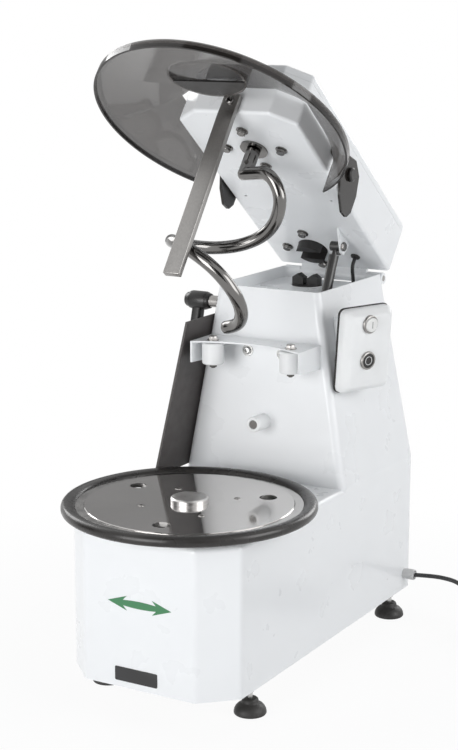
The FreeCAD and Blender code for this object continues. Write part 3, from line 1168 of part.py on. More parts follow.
gland_end = Vector(number(f"{HALF} + gland_length"), number("gland_y"), number("gland_z"))
coil_entry = Vector(number("coil_x"), number("coil_y + coil_radius + 2 * cord_radius"),
                    number("cord_radius"))
cord_points = [gland_end, Vector(187, 294, 75.8), Vector(213, 294, 77.4), Vector(241, 293.5, 75.2),
               Vector(257.5, 293, 65.7), Vector(269, 292.5, 50.4), Vector(275.5, 292, 32.5),
               Vector(286.2, 291.5, 16.7), Vector(302.4, 291, 6.6), Vector(321.2, 290.8, 3.6),
               coil_entry]
node("mains_cord", solid("mains_cord", tube("mains cord", cord_points, number("cord_radius"),
                                            number("10 * cord_radius"))))
coil_low, coil_high = "0.02", "4 * cord_radius"
coil_in, coil_out = "(coil_radius - 3 * cord_radius)", "(coil_radius + 3 * cord_radius)"
node("cord_coil", revolve("cord_coil", [
    (coil_in, f"{coil_low} + 2"), (f"{coil_in} + 2", coil_low), (f"{coil_out} - 2", coil_low),
    (coil_out, f"{coil_low} + 2"), (coil_out, f"{coil_high} - 2"), (f"{coil_out} - 2", coil_high),
    (f"{coil_in} + 2", coil_high), (coil_in, f"{coil_high} - 2")], ("coil_x", "coil_y", "0")))

plug_at = ("coil_x + coil_radius + 2 * cord_radius", "coil_y - 16", "plug_radius + 0.5")
plug_body = revolve("plug_body", [
    ("0", "0"), ("cord_radius + 0.6", "0"), ("cord_radius + 2.4", "28"), ("plug_radius - 7", "31"),
    ("plug_radius", "38"), ("plug_radius", "62"), ("plug_radius - 1", "64"), ("0", "64")],
    plug_at, TO_FRONT)
plug_pins = [place(rod(f"plug_pin_{i}", "2.4", ("0", "0", "0"), "20"),
                   (f"{plug_at[0]} + {offset}", f"{plug_at[1]} - 63", plug_at[2]), TO_FRONT)
             for i, offset in enumerate(("9.5", "-9.5"))]
node("mains_plug", fuse("mains_plug", plug_body, *plug_pins))


# ---------------------------------------------------------------- gas spring

EYE_Y = "(hinge_y - gas_reach * cos(open_angle) - gas_drop * sin(open_angle))"
EYE_Z = "(hinge_z + gas_reach * sin(open_angle) - gas_drop * cos(open_angle))"
SPRING_ANGLE = f"atan(({EYE_Y} - gas_foot_y) / ({EYE_Z} - gas_foot_z))"
SPRING_LENGTH = f"sqrt(({EYE_Y} - gas_foot_y)^2 + ({EYE_Z} - gas_foot_z)^2)"


def spring_node(label, thing):
    """A sub-part modelled hanging down from the spring's upper eye."""
    thing.Placement = FreeCAD.Placement(Vector(), Rotation(Vector(-1, 0, 0), 20))
    bind(thing, **{"Placement.Base.x": "gas_x", "Placement.Base.y": EYE_Y, "Placement.Base.z": EYE_Z,
                   "Placement.Rotation.Angle": f"{SPRING_ANGLE}"})
    return node(label, thing)


def eye(name, depth):
    """A spring end eye across X at a depth below the upper eye."""
    return rod(name, "gas_eye_radius", ("-gas_eye_radius", "0", f"-({depth})"),
               "2 * gas_eye_radius", "x")


upper_eye = eye("upper_eye", "0")
upper_neck = rod("upper_neck", "gas_rod_radius", ("0", "0", "-gas_tube_start - 1"),
                 "gas_tube_start - 3")
gas_tube = rod("gas_tube", "gas_tube_radius", ("0", "0", "-gas_tube_end"),
               "gas_tube_end - gas_tube_start")
gas_bore = rod("gas_bore", "gas_tube_radius - gas_wall", ("0", "0", "-gas_tube_end + 4"),
               "gas_tube_end - gas_tube_start - 12")
gas_seal = rod("gas_seal", "gas_rod_radius + running_gap", ("0", "0", "-gas_tube_end - 5"), "20")
upper_bore = rod("upper_bore", "gas_bolt_radius + running_gap", ("-20", "0", "0"), "40", "x")
spring_node("gas_cylinder", cut("gas_cylinder", fuse("gas_case", upper_eye, upper_neck, gas_tube),
                                gas_bore, gas_seal, upper_bore))

rod_inner = "(gas_tube_end - gas_engaged)"
gas_stem = rod("gas_stem", "gas_rod_radius", ("0", "0", f"-{SPRING_LENGTH} + 4"),
               f"{SPRING_LENGTH} - 4 - {rod_inner}")
gas_piston = rod("gas_piston", "gas_tube_radius - gas_wall - running_gap",
                 ("0", "0", f"-{rod_inner} - 8"), "8")
lower_eye = eye("lower_eye", SPRING_LENGTH)
lower_pin = rod("lower_pin", "gas_bolt_radius", ("-gas_eye_radius - 6", "0", f"-{SPRING_LENGTH}"),
                "2 * gas_eye_radius + 12", "x")
spring_node("gas_rod", fuse("gas_rod", gas_stem, gas_piston, lower_eye, lower_pin))


# ---------------------------------------------------------------- shield

RIM_BEARINGS = (-147, -33, 5, 55, 125, 175)


def notch_outline(wall):
    """The way round the head in plan, as the shield's cut-out grown by a wall."""
    side = f"(head_width / 2 + cutout_gap + ({wall}))"
    front = f"-(head_nose + cutout_nose + ({wall}))"
    shoulder = f"({front} + nose_bevel_depth)"
    rear = "-shield_rear"
    tip = f"({side} - nose_bevel_width)"
    return [(f"-{tip}", front), (tip, front), (side, shoulder), (side, rear), (f"-{side}", rear),
            (f"-{side}", shoulder)]


def dome(name, inset):
    """A hood that runs from the shield's round rim up to the way round the head, inset by a wall."""
    low, high = number(f"-shield_drop - ({inset})"), number(f"shield_crown - ({inset})")
    radius, middle = number(f"shield_radius - ({inset})"), number("-shield_reach")
    corners = [Vector(number(x), number(y), high)
               for x, y in notch_outline(f"shield_thick - ({inset})")]

    def on_rim(bearing):
        return Vector(radius * math.cos(math.radians(bearing)),
                      middle + radius * math.sin(math.radians(bearing)), low)

    arcs, sides = [], []
    for index, corner in enumerate(corners):
        bearing = RIM_BEARINGS[index]
        following = RIM_BEARINGS[(index + 1) % len(corners)] + (360 if index + 1 == len(corners) else 0)
        arcs.append(Part.Arc(on_rim(bearing), on_rim((bearing + following) / 2),
                             on_rim(following)).toShape())
        sides.append(Part.LineSegment(corner, corners[(index + 1) % len(corners)]).toShape())
    return solid(name, Part.makeLoft([Part.Wire(arcs), Part.Wire(sides)], True, True))


def oval(name, inset, low, high):
    """An upright oval block round the filling port, inset by a wall."""
    curve = Part.Ellipse(Vector(0, number("-port_reach"), number(low)),
                         number(f"port_half_width - ({inset})"), number(f"port_half_depth - ({inset})"))
    face = Part.Face(Part.Wire(curve.toShape()))
    return solid(name, face.extrude(Vector(0, 0, number(f"({high}) - ({low})"))))


hood = cut("shield_hood", dome("shield_outside", "0"), dome("shield_inside", "shield_thick"))
skirt = revolve("shield_skirt", [
    ("shield_radius - shield_thick", "-shield_drop - skirt_height"),
    ("shield_radius", "-shield_drop - skirt_height"), ("shield_radius", "-shield_drop"),
    ("shield_radius - shield_thick", "-shield_drop")], ("0", "-shield_reach", "0"))
lip = pad("shield_lip", "xy", notch_outline("shield_thick"), "lip_height", "shield_crown - lip_height")
port_wall = cut("port_wall", oval("port_outside", "0", "port_low", "port_low + 25"),
                oval("port_inside", "shield_thick", "port_low - 1", "port_low + 26"))
port_collar = doc.addObject("Part::Common", "port_collar")
port_collar.Base, port_collar.Tool = port_wall, dome("port_limit", "1")
shield_notch = pad("shield_notch", "xy", notch_outline("0")[:3] + [
    ("head_width / 2 + cutout_gap", "0"), ("-head_width / 2 - cutout_gap", "0"),
    notch_outline("0")[5]], "200", "-100")
ear_corners = (("75", "shield_crown"), ("44", "shield_crown + 2"), ("24", "66"), ("-4", "74"),
               ("-28", "60"), ("-39", "30"), ("-39", "0"), ("-30", "-14"), ("-12", "-16"), ("10", "0"),
               ("24", "20"), ("44", "shield_crown - lip_height"), ("75", "shield_crown - lip_height"))
ears = [round_edges(pad(f"ear_{name}", "yz", [
    (f"-pivot_reach - {ahead}", height) for ahead, height in ear_corners], "ear_thick", lift),
    f"ear_{name}_corners", "ear_rounding", along_x)
    for name, lift in (("right", "head_width / 2 + ear_gap"),
                       ("left", "-head_width / 2 - ear_gap - ear_thick"))]
ear_bore = rod("ear_bore", "pivot_radius + pin_gap", ("-head_width", "-pivot_reach", "pivot_rise"),
               "2 * head_width", "x")
shield_sheet = cut("shield_sheet", fuse("shield_blank", hood, skirt, lip, port_collar), shield_notch)
head_node("shield", cut("shield_cut", fuse("shield_whole", shield_sheet, *ears), ear_bore))

flap_round = oval("flap_round", "shield_thick", "port_low", "port_low + flap_thick")
flap_half = block("flap_half", ("-port_half_width", "port_half_width"),
                  ("-port_reach + flap_edge", "-port_reach + port_half_depth"),
                  ("port_low", "port_low + flap_thick"))
flap_blank = doc.addObject("Part::Common", "flap_blank")
flap_blank.Base, flap_blank.Tool = flap_round, flap_half
head_node("port_flap", flap_blank)


# ---------------------------------------------------------------- checking and writing

doc.recompute()
for thing in doc.Objects:
    if "Invalid" in thing.State or "Error" in thing.State:
        raise RuntimeError(f"{thing.Name} did not build: {thing.State}")
for thing in NODES:
    if thing.Shape.isNull() or not thing.Shape.isValid() or not thing.Shape.Solids:
        raise RuntimeError(f"{thing.Label} has no valid solid")
for thing in NODES:
    thing.Shape.exportStep(f"parts/{thing.Label}.step")
print(len(NODES), "nodes")
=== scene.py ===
import math

import bmesh
import bpy
from mathutils import Matrix, Vector


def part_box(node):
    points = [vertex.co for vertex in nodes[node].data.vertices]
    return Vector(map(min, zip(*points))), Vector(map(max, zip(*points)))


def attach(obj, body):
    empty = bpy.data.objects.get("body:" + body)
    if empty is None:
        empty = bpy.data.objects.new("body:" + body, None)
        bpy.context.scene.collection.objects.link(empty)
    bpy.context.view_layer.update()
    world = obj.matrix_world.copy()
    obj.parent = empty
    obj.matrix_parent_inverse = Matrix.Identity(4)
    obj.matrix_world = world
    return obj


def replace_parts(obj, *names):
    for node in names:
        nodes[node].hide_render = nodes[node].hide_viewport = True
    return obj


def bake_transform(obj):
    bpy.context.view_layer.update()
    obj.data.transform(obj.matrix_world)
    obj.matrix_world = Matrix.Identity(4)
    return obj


# Looks of a spiral dough mixer with a tilting head. The scene is in metres, +Z up, front towards -Y;
# pieces are drawn in the machine's own frame in millimetres, as the solids are, and scaled by MM.

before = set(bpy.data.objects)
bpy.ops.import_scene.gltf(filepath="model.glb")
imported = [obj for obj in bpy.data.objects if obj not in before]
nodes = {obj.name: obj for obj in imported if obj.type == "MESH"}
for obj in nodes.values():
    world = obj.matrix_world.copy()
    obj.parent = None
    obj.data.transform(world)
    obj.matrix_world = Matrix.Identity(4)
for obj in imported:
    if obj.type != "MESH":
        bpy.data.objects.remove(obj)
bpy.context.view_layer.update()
MM = 0.001

# From the head's own frame to the machine's: the origin on the hinge, -Y out along the open head.
HINGE_Y, HINGE_Z, HEAD_OPEN = 304, 576, 38.3
HEAD = (Matrix.Translation((0, HINGE_Y, HINGE_Z))
        @ Matrix.Rotation(math.radians(-HEAD_OPEN), 4, "X"))


# ---------------------------------------------------------------- camera, light and stage

# The camera that fits the photograph; CAMERA_BACK points from the machine to it.
PHOTO_HEIGHT = 750
FOCAL_PIXELS = 1745
SENSOR = 36
CAMERA_PLACE = Vector((1.3139, -2.3082, 1.0377))
CAMERA_BACK = Vector((0.49147, -0.84444, 0.21303))
AMBIENT = 0.22
FLOOR_RADIUS = 9
# How much of the floor is plain white: the first share of it out to GLOW_START, all from GLOW_END.
FLOOR_GLOW, GLOW_START, GLOW_END = 0.93, 0.35, 0.9
# The point that lamps and cards face.
MIDDLE = (0, -0.1, 0.5)


def make_camera():
    """The camera at the photograph's place, level, with the long side of the picture upright."""
    data = bpy.data.cameras.new("camera")
    data.sensor_width = SENSOR
    data.lens = SENSOR * FOCAL_PIXELS / PHOTO_HEIGHT
    data.clip_start, data.clip_end = 0.1, 40
    camera = bpy.data.objects.new("camera", data)
    camera.location = CAMERA_PLACE
    camera.rotation_euler = CAMERA_BACK.to_track_quat("Z", "Y").to_euler()
    bpy.context.scene.collection.objects.link(camera)
    bpy.context.scene.camera = camera


def seen_directly(tree):
    """1 for camera, glossy and transmission rays, 0 for the rays that light the object."""
    path = tree.nodes.new("ShaderNodeLightPath")
    total = path.outputs["Is Camera Ray"]
    for output in ("Is Glossy Ray", "Is Transmission Ray"):
        either = tree.nodes.new("ShaderNodeMath")
        either.operation = "MAXIMUM"
        tree.links.new(total, either.inputs[0])
        tree.links.new(path.outputs[output], either.inputs[1])
        total = either.outputs[0]
    return total


def make_world():
    """White where it is seen, and a soft even light where it lights the object."""
    world = bpy.data.worlds.new("studio")
    world.use_nodes = True
    tree = world.node_tree
    light = tree.nodes["Background"]
    light.inputs["Color"].default_value = (0.96, 0.98, 1.0, 1)
    light.inputs["Strength"].default_value = AMBIENT
    shown = tree.nodes.new("ShaderNodeBackground")
    shown.inputs["Color"].default_value = (1, 1, 1, 1)
    mix = tree.nodes.new("ShaderNodeMixShader")
    tree.links.new(seen_directly(tree), mix.inputs[0])
    tree.links.new(light.outputs[0], mix.inputs[1])
    tree.links.new(shown.outputs[0], mix.inputs[2])
    tree.links.new(mix.outputs[0], tree.nodes["World Output"].inputs["Surface"])
    bpy.context.scene.world = world


def make_floor():
    """A white floor that keeps a faint shadow near the machine and fades into the background."""
    bpy.ops.mesh.primitive_circle_add(vertices=96, radius=FLOOR_RADIUS, fill_type="NGON")
    floor = bpy.context.object
    floor.name = "floor"
    look = bpy.data.materials.new("floor")
    look.use_nodes = True
    tree = look.node_tree
    paint = tree.nodes["Principled BSDF"]
    paint.inputs["Base Color"].default_value = (0.86, 0.87, 0.88, 1)
    paint.inputs["Roughness"].default_value = 0.9
    paint.inputs["Specular IOR Level"].default_value = 0
    glow = tree.nodes.new("ShaderNodeEmission")
    place = tree.nodes.new("ShaderNodeTexCoord")
    reach = tree.nodes.new("ShaderNodeVectorMath")
    reach.operation = "LENGTH"
    tree.links.new(place.outputs["Object"], reach.inputs[0])
    share = tree.nodes.new("ShaderNodeMapRange")
    share.inputs["From Min"].default_value = GLOW_START
    share.inputs["From Max"].default_value = GLOW_END
    share.inputs["To Min"].default_value = FLOOR_GLOW
    tree.links.new(reach.outputs["Value"], share.inputs["Value"])
    glowing = tree.nodes.new("ShaderNodeMath")
    glowing.operation = "MULTIPLY"
    tree.links.new(seen_directly(tree), glowing.inputs[0])
    tree.links.new(share.outputs["Result"], glowing.inputs[1])
    mix = tree.nodes.new("ShaderNodeMixShader")
    tree.links.new(glowing.outputs[0], mix.inputs[0])
    tree.links.new(paint.outputs[0], mix.inputs[1])
    tree.links.new(glow.outputs[0], mix.inputs[2])
    tree.links.new(mix.outputs[0], tree.nodes["Material Output"].inputs["Surface"])
    floor.data.materials.append(look)


def soft_box(name, place, aim, size, power):
    """A square area light that faces a point."""
    data = bpy.data.lights.new(name, "AREA")
    data.size = size
    data.energy = power
    lamp = bpy.data.objects.new(name, data)
    lamp.location = place
    lamp.rotation_euler = (Vector(place) - Vector(aim)).to_track_quat("Z", "Y").to_euler()
    bpy.context.scene.collection.objects.link(lamp)


def card(name, place, aim, width, height, shade):
    """A studio card that only reflections see."""
    bpy.ops.mesh.primitive_plane_add(size=1)
    panel = bpy.context.object
    panel.name = name
    panel.scale = (width, height, 1)
    panel.location = place
    panel.rotation_euler = (Vector(place) - Vector(aim)).to_track_quat("-Z", "Y").to_euler()
    look = bpy.data.materials.new(name)
    look.use_nodes = True
    glow = look.node_tree.nodes.new("ShaderNodeEmission")
    glow.inputs["Color"].default_value = (shade, shade, shade, 1)
    look.node_tree.links.new(glow.outputs[0], look.node_tree.nodes["Material Output"].inputs["Surface"])
    panel.data.materials.append(look)
    for ray in ("camera", "diffuse", "shadow", "transmission", "volume_scatter"):
        setattr(panel, f"visible_{ray}", False)


make_camera()
make_world()
make_floor()
soft_box("key", (-0.45, -2.95, 0.75), MIDDLE, 1.8, 59)
soft_box("fill", (2.7, 0.2, 1.3), MIDDLE, 1.8, 37)
soft_box("left", (-3.0, 0.9, 2.0), MIDDLE, 1.6, 30)
soft_box("back", (0.6, 3.3, 1.7), MIDDLE, 1.6, 32)
card("grey_card_behind", (-1.9, 2.9, 0.9), MIDDLE, 3.0, 1.6, 0.30)
card("dark_card_front", (2.2, -3.6, 1.3), MIDDLE, 2.6, 2.6, 0.08)
card("dark_card_left", (-3.1, -1.6, 1.0), MIDDLE, 1.8, 2.2, 0.04)
card("dark_card_above", (0.4, -1.6, 3.3), MIDDLE, 2.4, 1.6, 0.08)
bpy.context.scene.view_settings.view_transform = "Standard"


# ---------------------------------------------------------------- materials

class Look:
    """A procedural material, built up from a Principled shader and a few textures."""

    def __init__(self, name, colour, roughness, metallic=0.0, **sockets):
        self.material = bpy.data.materials.new(name)
        self.material.use_nodes = True
        self.tree = self.material.node_tree
        self.shader = self.tree.nodes["Principled BSDF"]
        self.place = self.tree.nodes.new("ShaderNodeTexCoord").outputs["Object"]
        self.set("Base Color", (*colour, 1))
        self.set("Roughness", roughness)
        self.set("Metallic", metallic)
        for socket, value in sockets.items():
            self.set(socket.replace("_", " "), value)

    def set(self, socket, value):
        """Give one of the shader's own sockets a constant."""
        self.shader.inputs[socket].default_value = value

    def link(self, output, socket):
        """Join two nodes of this material."""
        self.tree.links.new(output, socket)

    def stretched(self, scale):
        """The piece's own coordinates, scaled along each axis."""
        mapping = self.tree.nodes.new("ShaderNodeMapping")
        mapping.inputs["Scale"].default_value = scale
        self.link(self.place, mapping.inputs["Vector"])
        return mapping.outputs["Vector"]

    def noise(self, scale, detail=3.0, roughness=0.5, stretch=(1, 1, 1)):
        """Soft random patches; a larger scale makes them smaller."""
        texture = self.tree.nodes.new("ShaderNodeTexNoise")
        texture.inputs["Scale"].default_value = scale
        texture.inputs["Detail"].default_value = detail
        texture.inputs["Roughness"].default_value = roughness
        self.link(self.stretched(stretch), texture.inputs["Vector"])
        return texture.outputs["Fac"]

    def ramp(self, value, low, high, start=0.0, end=1.0):
        """A value's range from low to high, spread from start to end."""
        spread = self.tree.nodes.new("ShaderNodeMapRange")
        spread.inputs["From Min"].default_value = low
        spread.inputs["From Max"].default_value = high
        spread.inputs["To Min"].default_value = start
        spread.inputs["To Max"].default_value = end
        self.link(value, spread.inputs["Value"])
        return spread.outputs["Result"]

    def shade(self, value, dark, light):
        """Colour from dark to light along a value."""
        mix = self.tree.nodes.new("ShaderNodeMix")
        mix.data_type = "RGBA"
        mix.inputs["A"].default_value = (*dark, 1)
        mix.inputs["B"].default_value = (*light, 1)
        self.link(value, mix.inputs["Factor"])
        self.link(mix.outputs["Result"], self.shader.inputs["Base Color"])
        return self

    def vary_roughness(self, value, low, high):
        """Roughness from low to high along a value's middle range."""
        self.link(self.ramp(value, 0.3, 0.7, low, high), self.shader.inputs["Roughness"])
        return self

    def bump(self, value, strength, depth):
        """Bumps that follow a value, with their depth in metres."""
        bumps = self.tree.nodes.new("ShaderNodeBump")
        bumps.inputs["Strength"].default_value = strength
        bumps.inputs["Distance"].default_value = depth
        self.link(value, bumps.inputs["Height"])
        self.link(bumps.outputs["Normal"], self.shader.inputs["Normal"])
        return self

    def along_head(self, axis):
        """Distance in metres from the hinge along an axis of the tilted head."""
        direction = HEAD.to_3x3() @ Vector([float(axis == name) for name in "XYZ"])
        apart = self.tree.nodes.new("ShaderNodeVectorMath")
        apart.operation = "SUBTRACT"
        apart.inputs[1].default_value = HEAD.translation * MM
        self.link(self.place, apart.inputs[0])
        reach = self.tree.nodes.new("ShaderNodeVectorMath")
        reach.operation = "DOT_PRODUCT"
        reach.inputs[1].default_value = direction
        self.link(apart.outputs["Vector"], reach.inputs[0])
        return reach.outputs["Value"]

    def rings(self, centre, scale):
        """Fine turned rings about an upright axis through a point."""
        mapping = self.tree.nodes.new("ShaderNodeMapping")
        mapping.inputs["Location"].default_value = [-c for c in centre]
        self.link(self.place, mapping.inputs["Vector"])
        wave = self.tree.nodes.new("ShaderNodeTexWave")
        wave.wave_type = "RINGS"
        wave.rings_direction = "Z"
        wave.inputs["Scale"].default_value = scale
        wave.inputs["Distortion"].default_value = 2.5
        wave.inputs["Detail"].default_value = 3
        wave.inputs["Detail Scale"].default_value = 0.4
        self.link(mapping.outputs["Vector"], wave.inputs["Vector"])
        return wave.outputs["Fac"]


def scaled(colour, factor):
    """A colour made darker or lighter."""
    return tuple(min(1.0, c * factor) for c in colour)


def painted(name, colour, roughness):
    """Powder coat: an even colour with a faint orange peel and softly uneven gloss."""
    look = Look(name, colour, roughness, Coat_Weight=0.25, Coat_Roughness=0.12)
    look.shade(look.ramp(look.noise(6, 4), 0.35, 0.65), scaled(colour, 0.995), scaled(colour, 1.003))
    look.vary_roughness(look.noise(14, 4), roughness - 0.05, roughness + 0.06)
    return look.bump(look.noise(420, 2), 0.025, 0.0003)


def moulded(name, colour, roughness, grain=900, spread=0.1):
    """Moulded plastic with a fine spark-eroded grain and handling marks."""
    look = Look(name, colour, roughness)
    look.shade(look.ramp(look.noise(40, 4), 0.3, 0.7), scaled(colour, 1 - spread),
               scaled(colour, 1 + spread))
    look.vary_roughness(look.noise(60, 3), roughness - 0.06, roughness + 0.08)
    return look.bump(look.noise(grain, 2), 0.12, 0.0003)


def rubbery(name, colour, roughness):
    """Rubber: nearly black, with a dusty bloom and a grainy skin."""
    look = Look(name, colour, roughness, Specular_IOR_Level=0.45)
    look.shade(look.ramp(look.noise(25, 6, 0.6), 0.35, 0.75), scaled(colour, 0.75), scaled(colour, 1.6))
    look.vary_roughness(look.noise(35, 4), roughness - 0.08, roughness + 0.1)
    return look.bump(look.noise(700, 3), 0.18, 0.0004)


def brushed(name, colour, roughness, stretch):
    """Metal with a straight brushed grain along the axis that is stretched least."""
    look = Look(name, colour, roughness, metallic=1.0)
    grain = look.noise(60, 5, 0.7, stretch)
    look.shade(look.ramp(grain, 0.3, 0.7), scaled(colour, 0.88), scaled(colour, 1.08))
    look.vary_roughness(grain, roughness - 0.05, roughness + 0.09)
    return look.bump(grain, 0.08, 0.0003)


def plated(name, colour, roughness):
    """Plated steel with slightly cloudy zinc and a little wear."""
    look = Look(name, colour, roughness, metallic=1.0)
    look.shade(look.ramp(look.noise(120, 5, 0.6), 0.3, 0.7), scaled(colour, 0.8), scaled(colour, 1.1))
    look.vary_roughness(look.noise(90, 4), roughness - 0.06, roughness + 0.1)
    return look.bump(look.noise(600, 3), 0.1, 0.0003)


def polished(name, colour, roughness):
    """Electropolished stainless steel with faint cloudiness."""
    look = Look(name, colour, roughness, metallic=1.0)
    look.shade(look.ramp(look.noise(30, 5), 0.3, 0.7), scaled(colour, 0.93), scaled(colour, 1.04))
    look.vary_roughness(look.noise(50, 4), roughness - 0.02, roughness + 0.05)
    return look.bump(look.noise(260, 2), 0.02, 0.0002)


def mirror_disc():
    """Polished sheet steel with a turned line, faint rings and wiping marks."""
    low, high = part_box("turntable_disc")
    centre = (low + high) / 2
    steel = (0.60, 0.585, 0.575)
    look = Look("mirror_steel", steel, 0.06, metallic=0.88)
    look.shade(look.ramp(look.noise(9, 5, 0.6), 0.3, 0.7), scaled(steel, 0.94), scaled(steel, 1.05))
    look.vary_roughness(look.noise(20, 5, 0.6), 0.045, 0.10)
    return look.bump(look.rings(centre, 160), 0.015, 0.0002)


def smoked_sheet():
    """Smoked clear plastic, darker and less see-through at the hood's lower edge and its ears, where
    shade is painted into it.
    """
    smoke = (0.068, 0.058, 0.053)
    look = Look("smoked", smoke, 0.06, IOR=1.49)
    look.vary_roughness(look.noise(18, 4), 0.04, 0.09)
    # Painted shade: a mask that is 1 below the rim and in the ears, darkening the colour and the alpha
    # there.
    painted_shade = look.tree.nodes.new("ShaderNodeMath")
    painted_shade.operation = "MAXIMUM"
    look.link(look.ramp(look.along_head("Z"), *RIM_FADE), painted_shade.inputs[0])
    look.link(look.ramp(look.along_head("Y"), *EAR_FADE), painted_shade.inputs[1])
    alpha = look.ramp(painted_shade.outputs[0], 0, 1, SMOKE_ALPHA, EDGE_ALPHA)
    look.link(alpha, look.shader.inputs["Alpha"])
    return look.shade(painted_shade.outputs[0], smoke, scaled(smoke, 0.25))


# Where painted shade makes the shield darker and less see-through, in metres along the head's axes:
# below its rim, and in its ears.
RIM_EDGE, EAR_START = -0.0185, -0.300
RIM_FADE = (RIM_EDGE, RIM_EDGE - 0.001)
EAR_FADE = (EAR_START, EAR_START + 0.012)
SMOKE_ALPHA, EDGE_ALPHA = 0.63, 0.94
WHITE = (0.87, 0.885, 0.90)
STAINLESS = (0.56, 0.545, 0.53)
BLACK = (0.018, 0.017, 0.017)

LOOKS = {
    "white_paint": painted("white_paint", WHITE, 0.3),
    "zinc": plated("zinc", (0.55, 0.55, 0.54), 0.32),
    "black_rubber": rubbery("black_rubber", (0.02, 0.019, 0.018), 0.5),
    "ring_rubber": rubbery("ring_rubber", (0.022, 0.020, 0.019), 0.26),
    "steel": plated("steel", (0.34, 0.33, 0.32), 0.3),
    "cast_grey": painted("cast_grey", (0.33, 0.34, 0.35), 0.5),
    "motor_paint": painted("motor_paint", (0.12, 0.14, 0.17), 0.45),
    "belt_rubber": rubbery("belt_rubber", (0.02, 0.02, 0.02), 0.6),
    "white_plastic": moulded("white_plastic", (0.86, 0.87, 0.875), 0.38, spread=0.015),
    "grey_plastic": moulded("grey_plastic", (0.64, 0.64, 0.64), 0.4, spread=0.03),
    "cord_grey": moulded("cord_grey", (0.03, 0.03, 0.031), 0.42),
    "mirror_steel": mirror_disc(),
    "aluminium": brushed("aluminium", (0.5, 0.49, 0.48), 0.13, (1, 1, 12)),
    "turned_aluminium": brushed("turned_aluminium", (0.66, 0.65, 0.64), 0.3, (1, 1, 12)),
    "black_clutch": moulded("black_clutch", BLACK, 0.4),
    "brushed": brushed("brushed", scaled(STAINLESS, 0.62), 0.34, (8, 8, 0.6)),
    "black_plastic": moulded("black_plastic", (0.014, 0.013, 0.013), 0.32),
    "guard_black": moulded("guard_black", (0.058, 0.051, 0.049), 0.42, 500),
    "black_cable": rubbery("black_cable", (0.016, 0.016, 0.016), 0.45),
    "polished": polished("polished", scaled(STAINLESS, 0.34), 0.12),
    "smoked": smoked_sheet(),
    "black_tube": painted("black_tube", BLACK, 0.28),
    "button_white": moulded("button_white", (0.80, 0.80, 0.79), 0.3, spread=0.02),
    "dark_steel": plated("dark_steel", (0.12, 0.115, 0.11), 0.42),
    "green_mark": painted("green_mark", (0.045, 0.21, 0.085), 0.35),
    "plate_black": painted("plate_black", (0.012, 0.012, 0.013), 0.35),
    "mark_grey": painted("mark_grey", (0.36, 0.36, 0.36), 0.4),
    "mark_white": painted("mark_white", (0.75, 0.75, 0.75), 0.4),
}

# The looks that the carried-over solids wear; a made piece with one of them wears the same material.
NODE_LOOKS = {
    "white_paint": ("body_shell", "head_frame", "head_cover", "control_bracket", "rear_cover",
                    "roller_bracket"),
    "zinc": ("bottom_plate", "foot_studs", "gas_lower_bracket"),
    "black_rubber": ("foot_pads", "control_gasket", "grommet"),
    "ring_rubber": ("rubber_ring",),
    "steel": ("bowl_shaft", "drive_shaft", "lock_shaft", "input_shaft", "gas_rod", "table_screws",
              "column_bolts", "wall_screws", "head_bolts", "hinge_pin", "button_bezels"),
    "cast_grey": ("gearbox", "bowl_bearings", "shaft_bearing", "clutch_bearing", "spiral_bearing"),
    "motor_paint": ("motor",),
    "belt_rubber": ("bowl_belt", "head_belt"),
    "white_plastic": ("control_box", "roller_left", "roller_right", "bowl_bumper"),
    "grey_plastic": ("cable_gland",),
    "cord_grey": ("mains_cord", "cord_coil", "mains_plug"),
    "mirror_steel": ("turntable_disc",),
    "aluminium": ("turntable_pan", "bowl_pulley", "drive_pulley"),
    "turned_aluminium": ("bowl_spigot",),
    "black_clutch": ("lower_clutch", "upper_clutch"),
    "brushed": ("breaker_bar",),
    "black_plastic": ("lock_lever", "stop_button", "shield_pivots", "port_flap"),
    "guard_black": ("side_guard",),
    "black_cable": ("head_cable",),
    "polished": ("spiral_hook", "spiral_shaft"),
    "smoked": ("shield",),
    "black_tube": ("gas_cylinder",),
    "button_white": ("start_button",),
}

for slot, members in NODE_LOOKS.items():
    for member in members:
        for material_slot in nodes[member].material_slots:
            material_slot.material = LOOKS[slot].material


# ---------------------------------------------------------------- making pieces

# The control housing's own frame: the origin at the lower front corner of its back, +X out of its
# face, +Y towards the machine's rear and +Z up.
CONTROL = (Matrix.Translation((119.1, 69.4, 431)) @ Matrix.Rotation(math.radians(-22), 4, "Z")
           @ Matrix.Rotation(math.radians(4.5), 4, "Y"))
# Flat drawings stood upright: facing the front, or facing +X with their x along +Y.
ON_FRONT = Matrix(((1, 0, 0, 0), (0, 0, -1, 0), (0, 1, 0, 0), (0, 0, 0, 1)))
ON_SIDE = Matrix(((0, 0, 1, 0), (1, 0, 0, 0), (0, 1, 0, 0), (0, 0, 0, 1)))
# The third number of a level that is a hexagon and not a circle.
HEXAGON = 6


def standing(place, axis=(0, 0, 1)):
    """A matrix that takes the origin to a place and +Z to an axis."""
    return Matrix.Translation(place) @ Vector(axis).to_track_quat("Z", "Y").to_matrix().to_4x4()


def piece(name, vertices, faces, look, body, angle=35, rounding=0):
    """A mesh that rides on a body, smooth except at edges sharper than an angle."""
    mesh = bpy.data.meshes.new(name)
    mesh.from_pydata([tuple(Vector(v) * MM) for v in vertices], [], faces)
    shape = bmesh.new()
    shape.from_mesh(mesh)
    bmesh.ops.recalc_face_normals(shape, faces=shape.faces)
    if rounding:
        sharp = [edge for edge in shape.edges if edge.calc_face_angle(0) > math.radians(angle)]
        bmesh.ops.bevel(shape, geom=sharp, offset=rounding * MM, segments=3, profile=0.5,
                        affect="EDGES", clamp_overlap=True)
    shape.to_mesh(mesh)
    shape.free()
    mesh.shade_smooth()
    mesh.set_sharp_from_angle(angle=math.radians(angle))
    made = bpy.data.objects.new(name, mesh)
    made.data.materials.append(LOOKS[look].material)
    bpy.context.scene.collection.objects.link(made)
    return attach(made, body)


